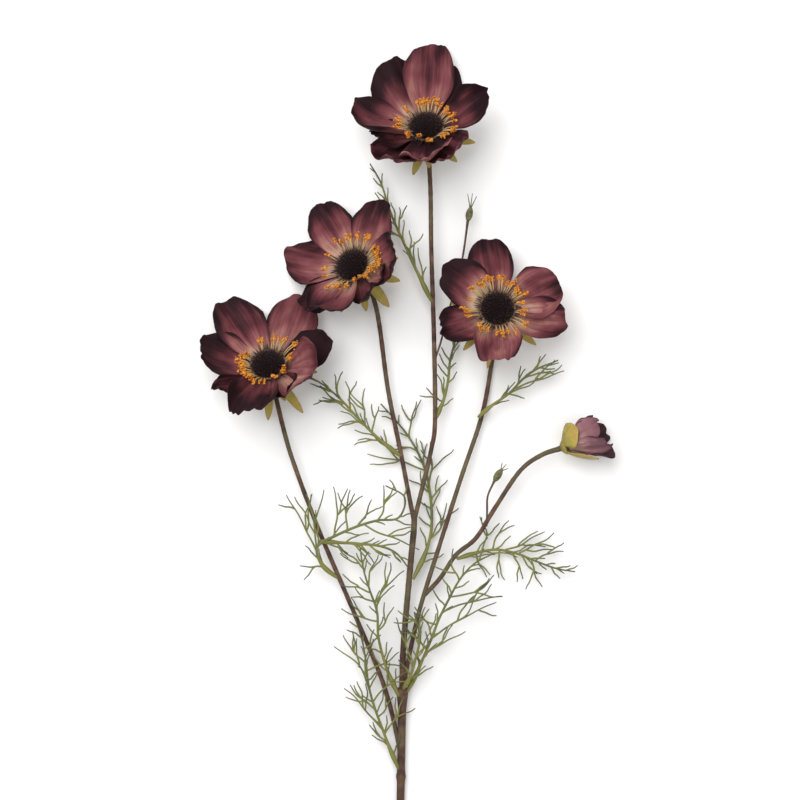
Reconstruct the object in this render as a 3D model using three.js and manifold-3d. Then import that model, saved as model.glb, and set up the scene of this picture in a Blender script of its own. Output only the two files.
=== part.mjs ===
import * as THREE from 'three';
import Module from 'manifold-3d';

// A branched spray of anemones lying on a flat surface, in millimetres, +Z up.
// The stem runs along +Y from its cut end. Places are written as [x, y, z] from the
// point where the cut end touches the surface; MIDDLE then moves the whole spray so
// that the middle of its bounding box stands on the frame's origin.

// ---- Driving dimensions ----

const MIDDLE = [3.5, 237.4];            // middle of the spray, from the cut end
const AIR = 0.3;                        // gap between pieces that touch
const FLATNESS = 0.06;                  // facets flatter than this are joined
const STEM_RADIUS = 2.4;                // main stem, 4.8 mm thick
const TRUNK_RADIUS = 1.8;               // the fork's left arm
const STALK_RADIUS = 1.35;              // flower stalks, 2.7 mm thick
const HAIR_STALK_RADIUS = 0.6;          // stalks of the two seed-like buds
const STEM_STEP = 17;                   // length between two rings of a stem
const PETAL_THICKNESS = 0.7;
const PETAL_ROOT = 3;                   // petals begin this far from the flower's axis
const ROOT_WIDTH = 0.16;                // a petal's width at its root, as a share
const WIDEST = 0.7;                     // share of its length at which it is full width
const TIP_NARROWING = 0.12;
const TIP_ROUNDING = 0.2;
const CUPPING = 0.16;                   // how far a petal's sides rise, as a share
const HUB_RADIUS = 6;                   // the disc that holds the petals together
const HUB_TOP = 2.6;
const HUB_BOTTOM = -1.5;
const DOME_RADIUS = 9.3;                // the dark velvet button in the middle
const DOME_TOP = 9.2;
const RING_WIDTH = 1.5;                 // band that carries the stamens
const RING_BOTTOM = 4;
const RING_TOP = 5.2;
const RING_MIDDLE = 4.6;
const STAMENS = 12;
const FILAMENT_RADIUS = 0.5;
const ANTHER_RADIUS = 1.2;
const CALYX_DEPTH = 10;                 // from the petals' root down to the stalk
const CALYX_RADIUS = 5.2;
const SEPAL_THICKNESS = 0.8;
const MIDRIB_RADIUS = 0.9;
const THREAD_RADIUS = 0.55;             // thread-like leaflets of the fronds
const THREAD_STEP = 13;
const FORK_LENGTH = 21;                 // a leaflet divides once for each such length
const BEND_AIR = 0.6;                   // air kept where a thread passes a stem
const TABLE_AIR = 0.5;                  // and above the table
const ROOT_REACH = 7;                   // a frond's root may touch its stem this far
const LAID_STEP = 1.5;                  // spacing of the balls that stand for laid threads

// ---- Colours, taken by eye from the photograph ----

const STEM_COLOUR = '#5c4238';
const PETAL_COLOUR = '#6a3840';
const BUD_PETAL_COLOUR = '#8a6267';
const DOME_COLOUR = '#1c1011';
const STAMEN_COLOUR = '#c98a2a';
const CALYX_COLOUR = '#9a9136';
const FROND_COLOUR = '#66733a';
const SMALL_BUD_COLOUR = '#5f5a38';

// ---- Small tools ----

const wasm = await Module();
wasm.setup();

let seed = 1;

function startDraws(number) {
  seed = number;
}

function draw(low, high) {
  seed = (seed * 16807) % 2147483647;
  return low + (high - low) * (seed / 2147483647);
}

function radians(degrees) {
  return degrees * Math.PI / 180;
}

function at(place) {
  return new THREE.Vector3(place[0], place[1], place[2]);
}

function solidFrom(points, faces) {
  const numbers = [];
  for (const point of points) {
    numbers.push(point.x, point.y, point.z);
  }
  const mesh = new wasm.Mesh({
    numProp: 3,
    vertProperties: new Float32Array(numbers),
    triVerts: new Uint32Array(faces),
  });
  return new wasm.Manifold(mesh);
}

function solidFromGeometry(geometry) {
  const position = geometry.attributes.position;
  const points = [];
  const known = new Map();
  const place = [];
  for (let i = 0; i < position.count; i += 1) {
    const point = new THREE.Vector3().fromBufferAttribute(position, i);
    const key = point.toArray().map((value) => Math.round(value * 1e4)).join(',');
    if (!known.has(key)) {
      known.set(key, points.length);
      points.push(point);
    }
    place.push(known.get(key));
  }
  const order = geometry.index ? [...geometry.index.array] : place.map((value, i) => i);
  const faces = [];
  for (let i = 0; i < order.length; i += 3) {
    const [a, b, c] = [place[order[i]], place[order[i + 1]], place[order[i + 2]]];
    if (a !== b && b !== c && c !== a) {
      faces.push(a, b, c);
    }
  }
  return solidFrom(points, faces);
}

function fuse(solids) {
  return solids.reduce((whole, next) => whole.add(next));
}

function mainBody(solid) {
  const bodies = solid.decompose();
  return bodies.reduce((best, next) => (next.volume() > best.volume() ? next : best));
}

function node(name, solid, colour, roughness) {
  const mesh = solid.simplify(FLATNESS).getMesh();
  const geometry = new THREE.BufferGeometry();
  geometry.setAttribute('position', new THREE.BufferAttribute(mesh.vertProperties, 3));
  geometry.setIndex(new THREE.BufferAttribute(mesh.triVerts, 1));
  geometry.translate(-MIDDLE[0], -MIDDLE[1], 0);
  geometry.computeVertexNormals();
  const material = new THREE.MeshStandardMaterial({ color: colour, roughness, metalness: 0 });
  const result = new THREE.Mesh(geometry, material);
  result.name = name;
  return result;
}

// A closed skin over rings of points, all rings with the same number of points.
function skin(rings) {
  const sides = rings[0].length;
  const faces = [];
  for (let j = 0; j + 1 < rings.length; j += 1) {
    for (let i = 0; i < sides; i += 1) {
      const a = j * sides + i;
      const b = j * sides + (i + 1) % sides;
      faces.push(a, b, b + sides, a, b + sides, a + sides);
    }
  }
  const last = (rings.length - 1) * sides;
  for (let i = 1; i + 1 < sides; i += 1) {
    faces.push(0, i + 1, i, last, last + i, last + i + 1);
  }
  return solidFrom(rings.flat(), faces);
}

// A round thread along a row of points; radiusAt gives its radius from 0 to 1 along it.
function thread(route, radiusAt, sides) {
  const rings = [];
  const start = route[1].clone().sub(route[0]);
  let side = new THREE.Vector3(start.y, -start.x, 0).normalize();
  for (let j = 0; j < route.length; j += 1) {
    const before = route[Math.max(j - 1, 0)];
    const after = route[Math.min(j + 1, route.length - 1)];
    const ahead = after.clone().sub(before).normalize();
    side = side.clone().addScaledVector(ahead, -side.dot(ahead)).normalize();
    const up = ahead.clone().cross(side);
    const radius = radiusAt(j / (route.length - 1));
    const ring = [];
    for (let i = 0; i < sides; i += 1) {
      const turn = 2 * Math.PI * (i + 0.5) / sides;
      ring.push(route[j].clone()
        .addScaledVector(side, radius * Math.cos(turn))
        .addScaledVector(up, radius * Math.sin(turn)));
    }
    rings.push(ring);
  }
  return skin(rings);
}

function smoothRoute(places, step) {
  const curve = new THREE.CatmullRomCurve3(places.map(at), false, 'catmullrom', 0.5);
  return curve.getSpacedPoints(Math.max(2, Math.round(curve.getLength() / step)));
}

// A thin sheet of even thickness: surface gives its middle for u from -1 to 1 across
// and v from 0 to 1 along. Both faces are divided alike.
function sheet(surface, across, along, thickness) {
  const small = 0.01;
  const points = [];
  const row = across + 1;
  const layer = row * (along + 1);
  for (const side of [-0.5, 0.5]) {
    for (let j = 0; j <= along; j += 1) {
      for (let i = 0; i <= across; i += 1) {
        const u = 2 * i / across - 1;
        const v = j / along;
        const overU = surface(u + small, v).sub(surface(u - small, v));
        const overV = surface(u, v + small).sub(surface(u, v - small));
        const normal = overU.cross(overV).normalize();
        points.push(surface(u, v).addScaledVector(normal, side * thickness));
      }
    }
  }
  const faces = [];
  for (let j = 0; j < along; j += 1) {
    for (let i = 0; i < across; i += 1) {
      const a = j * row + i;
      faces.push(a, a + row, a + 1, a + 1, a + row, a + row + 1);
      const b = a + layer;
      faces.push(b, b + 1, b + row, b + 1, b + row + 1, b + row);
    }
  }
  const rim = [];
  for (let i = 0; i < across; i += 1) {
    rim.push(i);
  }
  for (let j = 0; j < along; j += 1) {
    rim.push(j * row + across);
  }
  for (let i = across; i > 0; i -= 1) {
    rim.push(along * row + i);
  }
  for (let j = along; j > 0; j -= 1) {
    rim.push(j * row);
  }
  for (let k = 0; k < rim.length; k += 1) {
    const a = rim[k];
    const b = rim[(k + 1) % rim.length];
    faces.push(a, b, b + layer, a, b + layer, a + layer);
  }
  return solidFrom(points, faces);
}

// ---- The stem with its stalks ----

// Routes of the moulded stem. The petals' lean decides how each flower stalk ends.
const MAIN_ROUTE = [[0, 0, 2.22], [0.3, 23, 2.5], [0.6, 41, 3.3], [1.2, 74, 4.6], [1.5, 91, 5.8]];
const TRUNK_ROUTE = [[1.3, 86, 5.4], [1.6, 108, 7], [3, 129, 8.5], [6.5, 168, 10],
  [8.3, 187, 10.5], [8.5, 197, 10.5]];
const STALK_1_ROUTE = [[8.3, 191, 10.5], [11.3, 203, 10.8], [18.4, 233, 11.5], [20.8, 251, 12],
  [20.2, 299, 12], [18.6, 352, 11], [18.2, 385, 9.5]];
const STALK_2_ROUTE = [[8.3, 191, 10.5], [4.8, 209, 10], [0, 234, 9], [-7.1, 269, 8],
  [-11.9, 305, 7.5], [-15, 321, 7]];
const STALK_3_ROUTE = [[0.5, 47, 3], [-2.4, 65, 3.5], [-10.7, 96, 7], [-29.7, 142, 9],
  [-48.8, 187, 10], [-63.1, 225, 9], [-69.2, 245, 7.5]];
const STALK_4_ROUTE = [[1.3, 86, 5.4], [4.8, 107, 7], [11.9, 139, 9], [23, 175, 10],
  [36.5, 217, 8], [49, 254, 4.4], [55, 286, 1.74], [56.6, 300, 1.64]];
const BUD_STALK_ROUTE = [[14.6, 147, 9.2], [23.8, 157, 10], [33.3, 171, 10.5], [45.2, 181, 10.5],
  [56.5, 199, 11], [71.3, 221, 12], [84, 231, 13], [92.6, 233.9, 13.6]];
const SMALL_A_ROUTE = [[51.4, 188, 10.5], [51.7, 197, 12], [52, 206, 13], [55.4, 214.3, 14]];
const SMALL_B_ROUTE = [[20.4, 286, 12], [24.4, 298, 11], [28.5, 314, 8], [33.3, 331, 6],
  [37.5, 349, 6.5], [40.2, 368.7, 9.6]];
const JOINT_PLACE = 38;                 // the moulded ring's distance from the cut end
const FORK_PLACE = 90;                  // the swelling where the stem forks

function mainRadius(share) {
  const place = share * MAIN_ROUTE[MAIN_ROUTE.length - 1][1];
  const ring = 0.6 * Math.exp(-(((place - JOINT_PLACE) / 4) ** 2));
  const fork = 1.2 * Math.exp(-(((place - FORK_PLACE) / 8) ** 2));
  return STEM_RADIUS + ring + fork;
}

function leaned(bloom) {
  const lean = radians(bloom.lean);
  const toward = radians(bloom.toward);
  const axis = new THREE.Vector3(
    Math.sin(lean) * Math.cos(toward),
    Math.sin(lean) * Math.sin(toward),
    Math.cos(lean),
  );
  const turn = new THREE.Quaternion().setFromUnitVectors(new THREE.Vector3(0, 0, 1), axis);
  return { root: at(bloom.root), axis, turn };
}

function stalkToBloom(route, bloom) {
  const { root, axis } = leaned(bloom);
  const neck = root.clone().addScaledVector(axis, -(bloom.depth + AIR));
  const below = neck.clone().addScaledVector(axis, -bloom.bow);
  return [...route, below.toArray(), neck.toArray()];
}

function stemSolid(blooms, extra) {
  const even = (radius) => () => radius + extra;
  const parts = [
    thread(smoothRoute(MAIN_ROUTE, STEM_STEP / 3), (share) => mainRadius(share) + extra, 8),
    thread(smoothRoute(TRUNK_ROUTE, STEM_STEP), even(TRUNK_RADIUS), 8),
    thread(smoothRoute(BUD_STALK_ROUTE, STEM_STEP), even(STALK_RADIUS), 6),
    thread(smoothRoute(SMALL_A_ROUTE, STEM_STEP), even(HAIR_STALK_RADIUS), 5),
    thread(smoothRoute(SMALL_B_ROUTE, STEM_STEP), even(HAIR_STALK_RADIUS), 5),
  ];
  for (const bloom of blooms) {
    const route = smoothRoute(stalkToBloom(bloom.stalk, bloom), STEM_STEP);
    parts.push(thread(route, even(STALK_RADIUS), 6));
  }
  return fuse(parts);
}

// ---- The blooms ----

// Petal rows: [azimuth, length, width, rise, curl, sideways sweep, twist, root height].
// Azimuths are counted from +X, rise and curl in degrees up from the flower's plane.
// Sepal rows: [x, y, z of the tip, width].
const BLOOMS = [
  {
    name: 'bloom_1',
    root: [15.6, 420.6, 22.6],
    lean: 34,
    toward: 98,
    depth: CALYX_DEPTH,
    bow: 6,
    stalk: STALK_1_ROUTE,
    draws: 11,
    petals: [
      [71, 49, 27, -4, 22, 0, 10, -0.8],
      [88, 55, 30, 10, 6, 0, 10, 0.5],
      [119, 53, 34, 3, 20, 0, 10, -0.8],
      [176, 44, 30, 9, 36, 0, 10, 0.5],
      [228, 37, 34, -6, 46, 0, 10, -0.8],
      [276, 38, 30, 7, 34, 0, 10, 0.5],
      [302, 31, 30, -3, 50, 0, 10, -0.8],
      [6, 38, 31, 9, 36, 0, 10, 0.5],
    ],
    sepals: [[7.7, 396.6, 12, 5], [17.2, 400.5, 13, 5], [33.7, 403.8, 16, 5], [44.3, 414.8, 19, 5]],
  },
  {
    name: 'bloom_2',
    root: [-26.2, 340.2, 21.8],
    lean: 32,
    toward: 135,
    depth: CALYX_DEPTH,
    bow: 6,
    stalk: STALK_2_ROUTE,
    draws: 23,
    petals: [
      [62, 38, 30, 0, 32, 0, 10, -0.8],
      [121, 44, 28, 10, 6, 0, 10, 0.5],
      [168, 44, 31, -9, 22, 0, 10, -0.8],
      [212, 35, 28, -12, 40, 0, 10, -1],
      [252, 37, 34, 9, 30, 0, 10, 0.5],
      [302, 38, 30, -2, 60, 0, 10, -0.8],
      [350, 36, 32, 9, 46, 0, 10, 0.5],
    ],
    sepals: [[-1.2, 346.7, 20, 5], [0, 333.3, 18, 5], [-6.5, 318.2, 11, 6], [-20.1, 315.7, 13, 5],
      [-35, 315.2, 12, 5]],
  },
  {
    name: 'bloom_3',
    root: [-77.1, 281.3, 19.7],
    lean: 34,
    toward: 98,
    depth: CALYX_DEPTH,
    bow: 6,
    stalk: STALK_3_ROUTE,
    draws: 37,
    petals: [
      [69, 48, 36, -2, 22, 0, 10, -0.8],
      [125, 48, 34, 10, 8, 0, 10, 0.5],
      [174, 42, 31, 4, 38, 0, 10, -0.8],
      [246, 43, 36, 9, 26, 0, 10, 0.5],
      [277, 33, 32, -3, 46, 0, 10, -0.8],
      [314, 40, 30, 9, 40, 0, 10, 0.5],
      [12, 38, 30, 0, 38, 0, 10, -0.8],
    ],
    sepals: [[-78.5, 251.1, 9, 5], [-68.1, 262.6, 12, 5], [-57.7, 255.3, 11, 5],
      [-49.1, 279.6, 16, 5]],
  },
  {
    name: 'bloom_4',
    root: [57, 315.4, 23],
    lean: 12,
    toward: 90,
    depth: CALYX_DEPTH,
    bow: 4,
    stalk: STALK_4_ROUTE,
    draws: 53,
    petals: [
      [24, 37, 32, 8, 4, 0, 10, 0.5],
      [98, 42, 29, -4, 18, 0, 10, -0.8],
      [148, 38, 32, 9, 14, 0, 10, 0.5],
      [197, 36, 28, -1, 40, 0, 10, -0.8],
      [274, 34, 31, 9, 34, 0, 10, 0.5],
      [346, 42, 28, 0, 28, 0, 10, -0.8],
    ],
    sepals: [[80.6, 295.6, 12, 5], [37.5, 292.5, 14, 5], [30.3, 320.6, 12, 5], [52, 282, 10, 4]],
  },
];

// The middle of a petal. It rises and curls along its length, its sides cup upward,
// its edges wave, and where it would go through the table it lies on the table.
function petalSurface(frame, row, waves) {
  const [azimuth, length, width, rise, curl, sweep, twist, height] = row;
  const out = new THREE.Vector3(Math.cos(radians(azimuth)), Math.sin(radians(azimuth)), 0);
  const side = new THREE.Vector3(-out.y, out.x, 0);
  return (u, v) => {
    const tip = 1 - TIP_ROUNDING * Math.abs(u) ** 2.6
      + waves.lobe * Math.cos(3.4 * u + waves.lobePhase);
    const s = v * tip;
    const start = radians(rise);
    const turn = radians(curl) + 1e-4;
    const reach = PETAL_ROOT + length * (Math.sin(start + turn * s) - Math.sin(start)) / turn;
    const climb = height + length * (Math.cos(start) - Math.cos(start + turn * s)) / turn;
    const angle = start + turn * s;
    const spread = Math.sin(Math.PI / 2 * Math.min(1, (s + 0.06) / WIDEST));
    const narrowing = 1 - TIP_NARROWING * Math.max(0, s - WIDEST) / (1 - WIDEST);
    const half = width / 2 * (ROOT_WIDTH + (1 - ROOT_WIDTH) * spread ** 1.5) * narrowing;
    const roll = radians(twist) * (0.5 + 0.5 * s);
    const lift = out.clone().multiplyScalar(-Math.sin(angle)).setZ(Math.cos(angle));
    const cross = side.clone().multiplyScalar(Math.cos(roll)).addScaledVector(lift, Math.sin(roll));
    const edge = waves.edge * s * Math.abs(u) ** 1.5
      * Math.sin(waves.edgeCount * s + waves.edgePhase + (u > 0 ? 1.9 : 0));
    const end = waves.end * s ** 3 * Math.sin(waves.endCount * u + waves.endPhase);
    const cup = CUPPING * half * u * u;
    const point = out.clone().multiplyScalar(reach).setZ(climb)
      .addScaledVector(cross, u * half)
      .addScaledVector(lift, cup + edge + end)
      .addScaledVector(side, sweep * length * s * s);
    point.applyQuaternion(frame.turn).add(frame.root);
    point.z = Math.max(point.z, PETAL_THICKNESS / 2);
    return point;
  };
}

function petalWaves() {
  return {
    lobe: draw(0.02, 0.05),
    lobePhase: draw(0, 6.28),
    edge: draw(1.6, 2.8),
    edgeCount: draw(7, 10),
    edgePhase: draw(0, 6.28),
    end: draw(1.4, 2.6),
    endCount: draw(3.5, 5.5),
    endPhase: draw(0, 6.28),
  };
}

function turned(profile, segments, frame) {
  const geometry = new THREE.LatheGeometry(
    profile.map(([radius, height]) => new THREE.Vector2(radius, height)),
    segments,
  );
  geometry.rotateX(Math.PI / 2);
  geometry.applyQuaternion(frame.turn);
  geometry.translate(frame.root.x, frame.root.y, frame.root.z);
  return solidFromGeometry(geometry);
}

function domeSolid(frame, extra) {
  const bottom = HUB_TOP + AIR;
  return turned([
    [0, bottom - extra],
    [DOME_RADIUS - 2 + extra, bottom - extra],
    [DOME_RADIUS + extra, bottom + 1.5],
    [DOME_RADIUS - 0.7 + extra, 6.6],
    [DOME_RADIUS - 3 + extra, 8.4 + extra],
    [DOME_RADIUS - 6 + extra, DOME_TOP + extra],
    [0, DOME_TOP + extra],
  ], 10, frame);
}

function ringSolid(frame, extra) {
  const inner = DOME_RADIUS + AIR - extra;
  const outer = DOME_RADIUS + AIR + RING_WIDTH + extra;
  const round = (radius, past) => turned([
    [0, RING_BOTTOM - past],
    [radius, RING_BOTTOM - past],
    [radius, RING_TOP + past],
    [0, RING_TOP + past],
  ], 10, frame);
  return round(outer, extra).subtract(round(inner, extra + 1));
}

function inFrame(frame, radius, azimuth, height) {
  return new THREE.Vector3(
    radius * Math.cos(azimuth),
    radius * Math.sin(azimuth),
    height,
  ).applyQuaternion(frame.turn).add(frame.root);
}

function stamenSolid(frame) {
  const parts = [ringSolid(frame, 0)];
  for (let k = 0; k < STAMENS; k += 1) {
    const azimuth = 2 * Math.PI * (k + draw(-0.3, 0.3)) / STAMENS;
    const reach = draw(16.5, 20);
    const lean = draw(-0.12, 0.12);
    const top = draw(9, 11.5);
    const root = inFrame(frame, DOME_RADIUS + AIR + RING_WIDTH / 3, azimuth, RING_MIDDLE);
    const neck = inFrame(frame, reach - ANTHER_RADIUS, azimuth + lean, top);
    const anther = inFrame(frame, reach, azimuth + lean, top);
    const tip = inFrame(frame, reach + ANTHER_RADIUS, azimuth + lean, top);
    const swelling = [1, 0.9, ANTHER_RADIUS / FILAMENT_RADIUS, 0.9];
    const radiusAt = (share) => FILAMENT_RADIUS * swelling[Math.round(3 * share)];
    parts.push(thread([root, neck, anther, tip], radiusAt, 3));
  }
  return fuse(parts);
}

// A narrow pointed leaf from one place to another, its middle bowed upward.
function pointedLeaf(from, to, width, thickness, bow) {
  const along = to.clone().sub(from);
  const side = new THREE.Vector3(-along.y, along.x, 0).normalize();
  return sheet((u, v) => {
    const half = width / 2 * (0.35 + 0.65 * Math.sin(Math.PI * Math.min(0.93, v + 0.12)));
    const point = from.clone().addScaledVector(along, v);
    point.addScaledVector(side, u * half);
    point.z += bow * 4 * v * (1 - v) + 0.12 * width * u * u;
    return point;
  }, 2, 3, thickness);
}

function calyxSolid(frame, bloom) {
  const top = HUB_BOTTOM - AIR;
  const parts = [turned([
    [0, -bloom.depth],
    [1.9, -bloom.depth],
    [2.9, top - 0.6 * (bloom.depth + top)],
    [CALYX_RADIUS - 0.6, top - 0.25 * (bloom.depth + top)],
    [CALYX_RADIUS, top],
    [0, top],
  ], 8, frame)];
  for (const [x, y, z, width] of bloom.sepals) {
    const tip = at([x, y, z]);
    const heart = inFrame(frame, 0, 0, top - 2.6);
    const from = heart.clone().addScaledVector(tip.clone().sub(heart).normalize(), 1.5);
    parts.push(pointedLeaf(from, tip, width, SEPAL_THICKNESS, 0));
  }
  return fuse(parts);
}

function bloomNodes(bloom, stalkRoom) {
  startDraws(bloom.draws);
  const frame = leaned(bloom);
  const room = domeSolid(frame, AIR).add(ringSolid(frame, AIR));
  const hub = turned([
    [0, HUB_BOTTOM],
    [HUB_RADIUS, HUB_BOTTOM],
    [HUB_RADIUS - 1.5, HUB_TOP],
    [0, HUB_TOP],
  ], 8, frame);
  const blades = bloom.petals.map((row) => (
    sheet(petalSurface(frame, row, petalWaves()), 4, 5, PETAL_THICKNESS)
  ));
  const petals = mainBody(fuse([hub, ...blades]).subtract(room));
  const calyx = mainBody(calyxSolid(frame, bloom).subtract(stalkRoom));
  return [
    node(`${bloom.name}_petals`, petals, PETAL_COLOUR, 0.8),
    node(`${bloom.name}_dome`, domeSolid(frame, 0), DOME_COLOUR, 0.95),
    node(`${bloom.name}_stamens`, stamenSolid(frame), STAMEN_COLOUR, 0.85),
    node(`${bloom.name}_calyx`, calyx, CALYX_COLOUR, 0.7),
  ];
}

// ---- The opening bud ----

const BUD = {
  name: 'bud',
  root: [99.5, 235.4, 14],
  lean: 84,
  toward: 15,
  depth: 5,
  draws: 71,
  petals: [
    [88, 23, 17, 40, 48, 0, 14, 0],
    [160, 26, 17, 56, 28, 0, 14, 0],
    [232, 26, 17, 62, 10, 0, 14, 0],
    [304, 26, 17, 64, 12, 0, 14, 0],
    [16, 25, 17, 54, 28, 0, 14, 0],
  ],
  sepals: [
    [125, 17, 16, 26, 48, 0, 6, -3.2],
    [268, 20, 11, 44, 26, 0, 6, -3.2],
    [10, 15, 13, 30, 40, 0, 6, -3.2],
  ],
};

const BUD_SEPAL_WAVES = {
  lobe: 0.05,
  lobePhase: 0,
  edge: 0,
  edgeCount: 1,
  edgePhase: 0,
  end: 0,
  endCount: 1,
  endPhase: 0,
};

function budNodes(bud, stalkRoom) {
  startDraws(bud.draws);
  const frame = leaned(bud);
  const hub = turned([[0, HUB_BOTTOM], [4, HUB_BOTTOM], [4, 1.4], [0, 1.4]], 8, frame);
  const blades = bud.petals.map((row) => (
    sheet(petalSurface(frame, row, petalWaves()), 3, 4, PETAL_THICKNESS)
  ));
  const petals = mainBody(fuse([hub, ...blades]));
  const cup = turned([
    [0, -bud.depth],
    [1.9, -bud.depth],
    [4.6, HUB_BOTTOM - AIR - 1],
    [4.9, HUB_BOTTOM - AIR],
    [0, HUB_BOTTOM - AIR],
  ], 10, frame);
  const wraps = bud.sepals.map((row) => (
    sheet(petalSurface(frame, row, BUD_SEPAL_WAVES), 4, 3, SEPAL_THICKNESS)
  ));
  return [
    node('bud_petals', petals, BUD_PETAL_COLOUR, 0.8),
    node('bud_calyx', mainBody(fuse([cup, ...wraps]).subtract(stalkRoom)), CALYX_COLOUR, 0.7),
  ];
}

// ---- The two seed-like buds ----

// Rows: [name, middle of the head, direction it points, hair tips].
const SMALL_BUDS = [
  ['small_bud_1', [58.1, 218.6, 14.6], [0.5, 0.8, 0.1], [[60.5, 226, 15], [64, 222.5, 15.5],
    [63, 225, 13.6]]],
  ['small_bud_2', [41.2, 373.6, 10.4], [0.2, 0.97, 0.15], [[40.2, 385.5, 10.5], [43, 385.6, 12.5],
    [45.6, 384.1, 10.4]]],
];
const SMALL_HEAD = [2.1, 4.4];          // radius and half length of a head
const HAIR_RADIUS = 0.4;

function smallBudNode([name, middle, direction, hairs]) {
  const axis = at(direction).normalize();
  const turn = new THREE.Quaternion().setFromUnitVectors(new THREE.Vector3(0, 1, 0), axis);
  const head = new THREE.SphereGeometry(1, 8, 6);
  head.scale(SMALL_HEAD[0], SMALL_HEAD[1], SMALL_HEAD[0]);
  head.applyQuaternion(turn);
  head.translate(...middle);
  const from = at(middle).addScaledVector(axis, SMALL_HEAD[1] - 1.6);
  const parts = [solidFromGeometry(head)];
  for (const tip of hairs) {
    parts.push(thread([from, at(tip)], () => HAIR_RADIUS, 4));
  }
  return node(name, fuse(parts), SMALL_BUD_COLOUR, 0.85);
}

// ---- The fronds ----

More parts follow.
